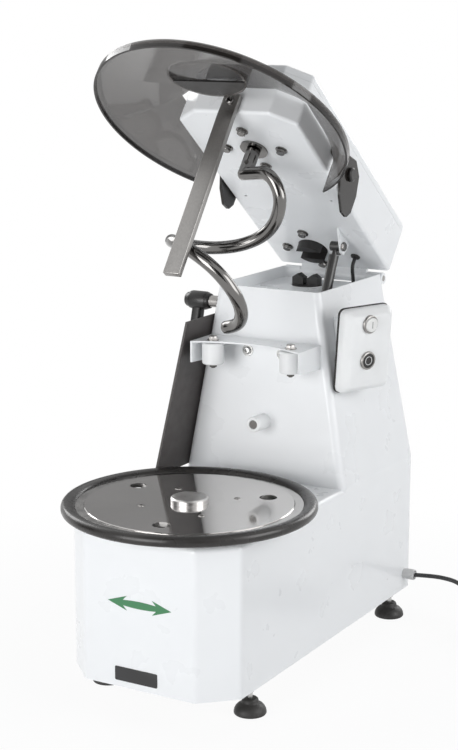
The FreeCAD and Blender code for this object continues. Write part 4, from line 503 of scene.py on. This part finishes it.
def level(radius, height, sides, steps):
    """One level of a turned form: a circle, or a polygon whose corners lie at the radius."""
    for step in range(steps):
        turn = 2 * math.pi * step / steps
        reach = radius
        if sides:
            sector = 2 * math.pi / sides
            reach *= math.cos(sector / 2) / math.cos(turn % sector - sector / 2)
        yield Vector((reach * math.cos(turn), reach * math.sin(turn), height))


def turned(name, forms, look, body, steps=48, angle=35):
    """Profiles of (radius, height) levels turned about the axes of their places, as one mesh."""
    vertices, faces = [], []
    for profile, place in forms:
        rows = []
        for radius, height, *sides in profile:
            if radius == 0:
                rows.append([len(vertices)] * steps)
                vertices.append(place @ Vector((0, 0, height)))
                continue
            rows.append(list(range(len(vertices), len(vertices) + steps)))
            vertices += [place @ point for point in level(radius, height, sides and sides[0], steps)]
        for index, row in enumerate(rows):
            following = rows[(index + 1) % len(rows)]
            for step in range(steps):
                after = (step + 1) % steps
                corners = list(dict.fromkeys((row[step], row[after], following[after], following[step])))
                if len(corners) > 2:
                    faces.append(corners)
    return piece(name, vertices, faces, look, body, angle)


def filleted(points, radius, steps=5):
    """A flat outline whose corners are rounded, each to a radius or as far as its sides allow."""
    outline = []
    for index, corner in enumerate(points):
        corner = Vector(corner)
        back = Vector(points[index - 1]) - corner
        ahead = Vector(points[(index + 1) % len(points)]) - corner
        half = back.angle(ahead) / 2
        reach = min(radius / math.tan(half), 0.45 * back.length, 0.45 * ahead.length)
        first, last = corner + back.normalized() * reach, corner + ahead.normalized() * reach
        for step in range(steps + 1):
            share = step / steps
            outline.append(first.lerp(corner, share).lerp(corner.lerp(last, share), share))
    return outline


def slab(name, outline, place, depth, look, body, rounding=0, angle=35):
    """A flat outline of (x, y) points given thickness along +Z, its sharp edges rounded."""
    count = len(outline)
    vertices = [place @ Vector((x, y, height)) for height in (0, depth) for x, y in outline]
    faces = [list(range(count))[::-1], list(range(count, 2 * count))]
    faces += [[i, (i + 1) % count, count + (i + 1) % count, count + i] for i in range(count)]
    return piece(name, vertices, faces, look, body, angle, rounding)


def rounded_box(width, height, radius):
    """The outline of a plate about its middle."""
    x, y = width / 2, height / 2
    return filleted([(-x, -y), (x, -y), (x, y), (-x, y)], radius)


def soften(node, width, segments=3, angle=40):
    """Round the sharp edges of a carried-over solid a little."""
    bevel = nodes[node].modifiers.new("softened", "BEVEL")
    bevel.width = width * MM
    bevel.segments = segments
    bevel.limit_method = "ANGLE"
    bevel.angle_limit = math.radians(angle)


# ---------------------------------------------------------------- mains cord

CORD_RADIUS = 3.6
COIL_RADIUS = 40
COIL_PLACE = Vector((336, 243.4, 0))
TURNS, TURN_STEPS = 6.25, 16
# From the gland's mouth down to the floor, where the coil begins.
CORD_ROUTE = [(165, 293.7, 73.5), (187, 294, 75.8), (213, 294, 77.4), (241, 293.5, 75.2),
              (257.5, 293, 65.7), (269, 292.5, 50.4), (275.5, 292, 32.5), (286.2, 291.5, 16.7),
              (302.4, 291, 6.6), (321.2, 290.8, 3.6)]
# Each turn's lane in the coil, (across, up) in cord radii, and the share of a turn kept in it.
LANES = [(2, 1), (0, 1), (-2, 1), (-2, 3), (0, 3), (2, 3), (2, 5)]
LANE_CHANGE = 0.7


def coil_points():
    """Turns that lie beside and on each other; each turn eases into the next lane near its end."""
    points = []
    for step in range(int(TURNS * TURN_STEPS) + 1):
        turn = step / TURN_STEPS
        lane = int(turn)
        share = min(1.0, max(0.0, (turn - lane - LANE_CHANGE) / (1 - LANE_CHANGE)))
        share = share * share * (3 - 2 * share)
        now, after = LANES[lane], LANES[min(lane + 1, len(LANES) - 1)]
        across = now[0] + (after[0] - now[0]) * share
        up = now[1] + (after[1] - now[1]) * share
        reach = (COIL_RADIUS + across * CORD_RADIUS) / math.cos(math.pi / TURN_STEPS / 2)
        heading = math.pi / 2 - 2 * math.pi * turn
        points.append(COIL_PLACE + Vector((reach * math.cos(heading), reach * math.sin(heading),
                                           up * CORD_RADIUS)))
    return points


def smooth_tube(name, points, radius, look):
    """A round tube along a smooth curve that has the points as its control points."""
    data = bpy.data.curves.new(name, "CURVE")
    data.dimensions = "3D"
    data.bevel_depth = radius * MM
    data.bevel_resolution = 6
    data.resolution_u = 8
    data.use_fill_caps = True
    spline = data.splines.new("NURBS")
    spline.points.add(len(points) - 1)
    for knot, point in zip(spline.points, points):
        knot.co = (*(Vector(point) * MM), 1)
    spline.order_u = 3
    spline.use_endpoint_u = True
    data.materials.append(LOOKS[look].material)
    made = bpy.data.objects.new(name, data)
    bpy.context.scene.collection.objects.link(made)
    return made


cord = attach(smooth_tube("cord", CORD_ROUTE + coil_points(), CORD_RADIUS, "cord_grey"), "base")
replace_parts(cord, "mains_cord", "cord_coil")
# A band round the coil where it is three cords wide and two high, sunk a little into the cords.
TIE_WIDTH, TIE_WALL = 3.5, 1.2
BUNDLE_WIDTH, BUNDLE_HEIGHT = 6 * CORD_RADIUS, 4 * CORD_RADIUS
tie_outer = rounded_box(BUNDLE_WIDTH + 2 * TIE_WALL, BUNDLE_HEIGHT + TIE_WALL, 3)
tie_inner = rounded_box(BUNDLE_WIDTH - 1, BUNDLE_HEIGHT - 1.5, 2)
tie_place = Matrix.Translation(COIL_PLACE + Vector((-COIL_RADIUS, -TIE_WIDTH / 2,
                                                    2 * CORD_RADIUS + TIE_WALL / 2)))
tie_count = len(tie_outer)
tie_points = [tie_place @ Vector((x, depth, z)) for depth in (0, TIE_WIDTH)
              for loop in (tie_outer, tie_inner) for x, z in loop]
tie_faces = []
for i in range(tie_count):
    j = (i + 1) % tie_count
    for first, second in ((0, 1), (1, 3), (3, 2), (2, 0)):
        tie_faces.append([first * tie_count + i, first * tie_count + j,
                          second * tie_count + j, second * tie_count + i])
piece("coil_tie", tie_points, tie_faces, "black_cable", "base")


# ---------------------------------------------------------------- base and feet

FOOT_PAD = [(0, 0), (23.5, 0), (24.5, 1.5), (24.5, 3.5), (23.8, 7), (22, 10.5), (19, 13.8), (15.6, 16),
            (13.6, 17), (12.8, 18.2), (12.6, 20.5), (11.8, 22.8), (9.6, 24.6), (7, 25), (0, 25)]
FOOT_X, FOOT_Y = (-126, 126), (-205, 277)
feet = [standing((x, y, 0)) for x in FOOT_X for y in FOOT_Y]
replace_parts(turned("feet", [(FOOT_PAD, foot) for foot in feet], "black_rubber", "base", angle=50),
            "foot_pads")

ARROW = [(-54.5, 0), (-21.5, 11.2), (-28.4, 4.1), (-14, 5.3), (0, 5.7), (14, 5.3), (28.4, 4.1),
         (21.5, 11.2), (54.5, 0)]
arrow = ARROW + [(x, -z) for x, z in ARROW[-2:0:-1]]
FRONT_PANEL = -311
arrow_place = Matrix.Translation((2, FRONT_PANEL, 177.1)) @ ON_FRONT
slab("direction_arrow", arrow, arrow_place, 0.3, "green_mark", "base")
PLATE_WIDTH, PLATE_HEIGHT, PLATE_CORNER, PLATE_THICK = 73.2, 21.8, 2.6, 0.8
plate_place = Matrix.Translation((-5, FRONT_PANEL, 66.7)) @ ON_FRONT
slab("bare_plate", rounded_box(PLATE_WIDTH, PLATE_HEIGHT, PLATE_CORNER), plate_place, PLATE_THICK,
     "plate_black", "base", rounding=0.3)

GLAND = [(4.1, 0), (8.2, 0), (8.2, 2.6), (9, 3.4), (9, 19), (8.4, 20), (7.2, 20), (6.7, 19.4),
         (6.4, 9), (4.1, 9)]
GLAND_FOOT = (145, 293.7, 73.5)
turned("gland", [(GLAND, standing(GLAND_FOOT, (1, 0, 0)))], "grey_plastic", "base", angle=50)


# ---------------------------------------------------------------- turntable

TABLE_Z = 295.7
BOWL = Matrix.Translation((0, -168, 0))
RING = [(171, 284.2), (186, 284.2), (189.2, 285), (191.4, 286.9), (192.5, 289.6), (192.5, 293),
        (191.6, 296.2), (189.2, 298.9), (185.6, 300.2), (181.5, 300.2), (177.4, 299.2), (174, 297.2),
        (171.6, 294.8), (171, 293.4)]
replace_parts(turned("ring", [(RING, BOWL)], "ring_rubber", "turntable", steps=160, angle=60),
            "rubber_ring")
TABLE_SCREW = [(0, -1), (5.2, -1), (5.2, 0.1), (4.9, 0.6), (3.4, 1.1), (2.5, 1.2, HEXAGON),
               (2.5, -0.6, HEXAGON), (0, -0.6)]
SCREW_CIRCLE = 74
screws = [(TABLE_SCREW, BOWL @ Matrix.Rotation(math.radians(45 + 90 * i), 4, "Z")
           @ Matrix.Translation((SCREW_CIRCLE, 0, TABLE_Z))) for i in range(4)]
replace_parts(turned("disc_screws", screws, "steel", "turntable"), "table_screws")


# ---------------------------------------------------------------- column fittings

# The column's front face starts at its foot and leans back by the same share of every height.
COLUMN_FOOT_Y, COLUMN_FOOT_Z = 56.4, 278.5
FRONT_LEAN = 13 / 306.7
WASHER = 1.5
HEX_BOLT = [(0, 0), (9.2, 0), (9.5, 0.3), (9.5, 1.2), (9.2, WASHER), (7.5, WASHER, HEXAGON),
            (7.5, 6, HEXAGON), (6.1, 6.9), (5.4, 7), (5, 6.7), (0, 6.7)]
HEX_NUT = [(0, 0), (5.6, 0), (6.5, 0.6, HEXAGON), (6.5, 4.4, HEXAGON), (5.6, 5), (0, 5)]
STUD_END = [(0, -2), (3.9, -2), (3.9, -1.6), (3.2, 0), (0, 0)]
SOCKET_BOLT = [(0, 0), (9.2, 0), (9.5, 0.3), (9.5, 1.2), (9.2, WASHER), (6.4, WASHER), (6.4, 5.2),
               (5.6, 6.4), (4.4, 6.9), (3, 6.9, HEXAGON), (3, 3.4, HEXAGON), (0, 3.4)]


def column_front(height):
    """The column's front face at a height."""
    return COLUMN_FOOT_Y + FRONT_LEAN * (height - COLUMN_FOOT_Z)


front_axis = (0, -1, FRONT_LEAN)
BOLT_X, BOLT_Z, BRACKET_SHEET = 31, 484, 2.5
bracket_bolts = turned("bracket_bolts", [
    (SOCKET_BOLT, standing((x, column_front(BOLT_Z) - BRACKET_SHEET, BOLT_Z), front_axis))
    for x in (BOLT_X, -BOLT_X)], "zinc", "base")
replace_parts(bracket_bolts, "column_bolts")
ROLLER_X, ROLLER_Y = 69.5, 19
ROLLER_PLACES = [(x, ROLLER_Y) for x in (ROLLER_X, -ROLLER_X)]
AXLE_TOP, NUT_Z, STUD_REACH = 504, 461.2, 1.7
turned("axle_bolts", [(HEX_BOLT, standing((x, y, AXLE_TOP))) for x, y in ROLLER_PLACES], "steel",
       "base")
nuts = [(profile, standing((x, y, NUT_Z + low), (0, 0, turn))) for x, y in ROLLER_PLACES
        for profile, low, turn in ((HEX_NUT, 0, 1), (STUD_END, -STUD_REACH, -1))]
turned("axle_nuts", nuts, "dark_steel", "base")

BUMPER = [(0, 0), (12.5, 0), (12.5, 33.5), (12.1, 35), (11, 36), (7.6, 36), (7.2, 35.6), (7, 34),
          (0, 34)]
BUMPER_SCREW = [(0, 33), (6.8, 33), (6.8, 34.6), (6.2, 35.1), (0, 35.3)]
BUMPER_Z = 372
bumper_place = standing((0, column_front(BUMPER_Z), BUMPER_Z), front_axis)
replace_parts(turned("bumper", [(BUMPER, bumper_place)], "white_plastic", "base"), "bowl_bumper")
turned("bumper_screw", [(BUMPER_SCREW, bumper_place)], "dark_steel", "base")

HUB = [(0, 0), (11.4, 0), (12.4, 1), (12.6, 3.4), (14, 5.6), (15, 9), (15, 33), (14.2, 36.6),
       (12.2, 39.4), (11.6, 42.6), (10, 45), (7, 46), (0, 46)]
LEVER_PLACE = Vector((-115, 89, 552))
ARM_SHIFT = Vector((-30.5, 0, -7.5))
lever_hub = turned("lever_hub", [(HUB, standing(LEVER_PLACE, (-1, 0, 0)))], "black_plastic", "lock",
                   angle=60)
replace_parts(lever_hub, "lock_lever")
ARM_HEAD, ARM_END, ARM_THICK = (9, 8), (9.6, -91.5), 15
ARM_LEAN = 15
arm_outline = filleted([(-ARM_HEAD[0], ARM_HEAD[1]), ARM_HEAD, ARM_END, (-ARM_END[0], ARM_END[1])], 8)
arm_place = (Matrix.Translation(LEVER_PLACE + ARM_SHIFT)
             @ Matrix.Rotation(math.radians(-ARM_LEAN), 4, "X") @ ON_SIDE)
slab("lever_arm", arm_outline, arm_place, ARM_THICK, "black_plastic", "lock", rounding=2.6)


# ---------------------------------------------------------------- control housing

FACE, GASKET = 24, 2.5
HOUSING_WIDTH, HOUSING_HEIGHT, HOUSING_CORNER = 100, 133, 12
BUTTON_Y, START_Z, STOP_Z = 44, 110, 52
HOUSING_OUTLINE = filleted([(0, 0), (HOUSING_WIDTH, 0), (HOUSING_WIDTH, HOUSING_HEIGHT),
                            (0, HOUSING_HEIGHT)], HOUSING_CORNER, 8)
HOUSING_MIDDLE = Vector((HOUSING_WIDTH / 2, HOUSING_HEIGHT / 2))


def strips(rows, count):
    """Faces between rows of points, one row after the other, with a face over each end."""
    faces = []
    for row in range(rows - 1):
        for i in range(count):
            j = (i + 1) % count
            faces.append([row * count + i, row * count + j, (row + 1) * count + j,
                          (row + 1) * count + i])
    return faces + [list(range(count))[::-1], list(range((rows - 1) * count, rows * count))]


def shell_of(levels):
    """The housing's outline at (height, inset) levels, drawn in towards its middle by the inset."""
    vertices = []
    for height, inset in levels:
        shrink = Vector((1 - inset / HOUSING_MIDDLE.x, 1 - inset / HOUSING_MIDDLE.y))
        for point in HOUSING_OUTLINE:
            flat = HOUSING_MIDDLE + (point - HOUSING_MIDDLE) * shrink
            vertices.append(CONTROL @ Vector((height, flat.x, flat.y)))
    return vertices, strips(len(levels), len(HOUSING_OUTLINE))


HOUSING = [(GASKET, 0), (8, 0), (13, 0.8), (16, 2.4), (21.5, 8), (23.4, 10), (FACE, 12)]
SEAL = [(-0.5, -1.3), (GASKET, -1.3)]
WEDGE = [(-62, 24), (0, 24)]
housing = piece("housing", *shell_of(HOUSING), "white_plastic", "base", angle=60)
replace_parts(housing, "control_box")
seal = piece("housing_seal", *shell_of(SEAL), "black_rubber", "base")
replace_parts(seal, "control_gasket")
wedge = piece("housing_bracket", *shell_of(WEDGE), "white_paint", "base")
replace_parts(wedge, "control_bracket")
BEZEL = [(11.5, -1), (14.5, -1), (14.5, 2.6), (13.8, 3.6), (12.8, 4), (12, 4), (11.5, 3.5)]
START_CAP = [(0, -3), (11.2, -3), (11.2, 5.6), (10.8, 6.5), (9.8, 7), (0, 7)]
STOP_CAP = [(0, -3), (11.2, -3), (11.2, 2.8), (10.9, 3.3), (10.2, 3.5), (6, 3.3), (0, 3.1)]
start_place, stop_place = [CONTROL @ standing((FACE, BUTTON_Y, z), (1, 0, 0))
                           for z in (START_Z, STOP_Z)]
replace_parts(turned("bezels", [(BEZEL, start_place), (BEZEL, stop_place)], "steel", "base"),
            "button_bezels")
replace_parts(turned("start_cap", [(START_CAP, start_place)], "button_white", "start", angle=60),
            "start_button")
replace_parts(turned("stop_cap", [(STOP_CAP, stop_place)], "black_plastic", "stop", angle=60),
            "stop_button")
START_TOP = START_CAP[-1][1]
mark_place = CONTROL @ Matrix.Translation((FACE + START_TOP, BUTTON_Y, START_Z)) @ ON_SIDE
slab("start_mark", rounded_box(2, 10.5, 0.4), mark_place, 0.1, "mark_grey", "start")
STOP_MARK = [(6.0, 3.2), (6.9, 3.2), (6.9, 3.6), (6.0, 3.6)]
turned("stop_mark", [(STOP_MARK, stop_place)], "mark_white", "stop")


# ---------------------------------------------------------------- head

# Places in the head's own frame: the underside lies above the hinge, and -Y runs to the nose.
UNDERSIDE, NOSE = 9.7, -457
SPIRAL_Y = -362
CLUTCH_FLANGE, SPIRAL_FLANGE = (-17, -67.5), (0, SPIRAL_Y)
FLANGE_CIRCLE = 47.5
flange_bolts = [(FLANGE_CIRCLE, 0), (-FLANGE_CIRCLE, 0), (0, FLANGE_CIRCLE), (0, -FLANGE_CIRCLE)]
down = (0, 0, -1)
fixings = [(HEX_BOLT, HEAD @ standing((x + across, y + along, UNDERSIDE), down))
           for x, y in (CLUTCH_FLANGE, SPIRAL_FLANGE) for across, along in flange_bolts]
BAR_BOLT = [(0, 0), (6.8, 0), (6.8, 1), (5.8, 3), (4.4, 3.8), (3.4, 3.9, HEXAGON), (3.4, 0.8, HEXAGON),
            (0, 0.8)]
GAS_BOLT = [(0, 0), (7.5, 0, HEXAGON), (7.5, 4.2, HEXAGON), (6.2, 5), (0, 5)]
BAR_BOLT_PLACE, GAS_BOLT_PLACE = (0, NOSE - 10, 24), (58, -107, -6)
fixings += [(BAR_BOLT, HEAD @ standing(BAR_BOLT_PLACE, (0, -1, 0))),
            (GAS_BOLT, HEAD @ standing(GAS_BOLT_PLACE, (1, 0, 0)))]
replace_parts(turned("head_fixings", fixings, "polished", "head"), "head_bolts")

# The breaker bar: flat on the nose from its top to the knee, then down and back to its end.
BAR_WIDTH, BAR_THICK, BAR_BACK = 27, 10, 13.2
BAR_TOP, BAR_KNEE, BAR_END = 36, -5, -266
bar_side = [(NOSE, BAR_KNEE), (NOSE, BAR_TOP), (NOSE - BAR_THICK, BAR_TOP),
            (NOSE - BAR_THICK, BAR_KNEE), (NOSE - BAR_THICK + BAR_BACK, BAR_END),
            (NOSE + BAR_BACK, BAR_END)]
bar_place = HEAD @ Matrix.Translation((-BAR_WIDTH / 2, 0, 0)) @ ON_SIDE
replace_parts(slab("bar", bar_side, bar_place, BAR_WIDTH, "brushed", "head", rounding=1.1, angle=30),
            "breaker_bar")

# A thin black disc drawn where the grease hole is: painted shade in place of the hole's dark inside.
GREASE_HOLE_SHADE = [(0, 0), (2.3, 0), (2.3, 0.25), (1.7, 0.3), (0, 0.1)]
GREASE_PLACE = (-6, -9.45, 0)
turned("grease_hole_shade", [(GREASE_HOLE_SHADE, HEAD @ standing(GREASE_PLACE, (0, -1, 0)))], "plate_black",
       "head", steps=24)

# The cable from its end in the head, out of the underside and into the column.
CABLE_X, CABLE_RADIUS = 55, 3
cable_route = [HEAD @ Vector((CABLE_X, -50, height)) for height in (21.7, 5, -10.3)]
cable_route += [Vector((CABLE_X, y, z)) for y, z in ((264, 574), (265.4, 560), (266, 544))]
cable_curve = smooth_tube("cable_curve", cable_route, CABLE_RADIUS, "black_cable")
cable_mesh = bpy.data.meshes.new_from_object(
    cable_curve.evaluated_get(bpy.context.evaluated_depsgraph_get()))
cable_mesh.shade_smooth()
bpy.data.objects.remove(cable_curve)
cable = bpy.data.objects.new("lead", cable_mesh)
bpy.context.scene.collection.objects.link(cable)
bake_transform(cable)
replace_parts(cable, "head_cable")

SPIRAL = HEAD @ Matrix.Translation((0, SPIRAL_Y, 0))
SLEEVE_TOP, SLEEVE_RADIUS, ROD_RADIUS = 4, 11, 10
# The hook's elbow and tail are (angle, reach, depth) about the spiral's axis; between them it
# goes round at one reach and gains depth by the same amount for every degree.
HOOK_REACH = 70
HOOK_ELBOW = [(166, 8, 36), (-14, 14, 37), (-14, 50, 39), (8, 69, 64)]
WINDING_START, WINDING_END, WINDING_STEP = 33, 344, 31
WINDING_DEPTH, DEPTH_PER_DEGREE = 90, 0.516
HOOK_TAIL = [(371, HOOK_REACH, 260), (401, HOOK_REACH, 264), (420, HOOK_REACH, 264.5),
             (437, HOOK_REACH, 265)]


def about_spiral(angle, reach, depth):
    """A point about the spiral's axis: 0 is to the machine's right, 90 towards the column."""
    turn = math.radians(angle)
    return SPIRAL @ Vector((reach * math.cos(turn), reach * math.sin(turn), -depth))


def eased(points, steps=8):
    """Points along a curve that touches the middle of each inner side of a path."""
    curve = [points[0]]
    for back, corner, ahead in zip(points, points[1:], points[2:]):
        first, last = (back + corner) / 2, (corner + ahead) / 2
        for step in range(steps):
            share = step / steps
            curve.append(first.lerp(corner, share).lerp(corner.lerp(last, share), share))
    return curve + [(points[-2] + points[-1]) / 2, points[-1]]


def swept(name, points, radius, edge, look, body, sides=40):
    """A round bar along a curve, with its two end edges rounded."""
    points = eased(points)
    rows, side = [], (points[1] - points[0]).orthogonal()
    for index, point in enumerate(points):
        along = (points[min(index + 1, len(points) - 1)] - points[max(index - 1, 0)]).normalized()
        side = (side - side.dot(along) * along).normalized()
        rows.append((point, along, side.copy()))
    rounding = [(edge * (1 - math.cos(turn)), edge * (1 - math.sin(turn)))
                for turn in (math.pi / 2 * step / 4 for step in range(4))]
    rings = [(rows[0], back, radius - inset) for back, inset in rounding]
    rings += [(row, 0, radius) for row in rows[1:-1]]
    rings += [(rows[-1], -back, radius - inset) for back, inset in reversed(rounding)]
    vertices = []
    for (point, along, across), shift, reach in rings:
        over = along.cross(across)
        for step in range(sides):
            turn = 2 * math.pi * step / sides
            outward = math.cos(turn) * across + math.sin(turn) * over
            vertices.append(point + along * shift + reach * outward)
    return piece(name, vertices, strips(len(rings), sides), look, body, angle=60)


winding = [(angle, HOOK_REACH, WINDING_DEPTH + DEPTH_PER_DEGREE * (angle - WINDING_START))
           for angle in range(WINDING_START, WINDING_END, WINDING_STEP)]
hook_path = [about_spiral(*place) for place in HOOK_ELBOW + winding + HOOK_TAIL]
hook = swept("hook", hook_path, ROD_RADIUS, 4, "polished", "spiral")
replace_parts(hook, "spiral_hook")
SLEEVE = [(0, 0), (SLEEVE_RADIUS, 0), (SLEEVE_RADIUS, 43), (9, 45), (0, 45)]
turned("hook_sleeve", [(SLEEVE, SPIRAL @ standing((0, 0, SLEEVE_TOP), down))], "polished", "spiral")
PIN = [(0, -1), (3.4, -1), (3.4, 0.5), (2.6, 0.7), (2.2, 0.1), (0, 0)]
PIN_ANGLE, PIN_DEPTH = -78, 22
pin_turn = math.radians(PIN_ANGLE)
pin_side = Vector((math.cos(pin_turn), math.sin(pin_turn), 0))
pin_place = SPIRAL @ standing(pin_side * SLEEVE_RADIUS + Vector((0, 0, -PIN_DEPTH)), pin_side)
turned("sleeve_pin", [(PIN, pin_place)], "dark_steel", "spiral", steps=24)

soften("wall_screws", 1)
soften("bowl_spigot", 0.5)
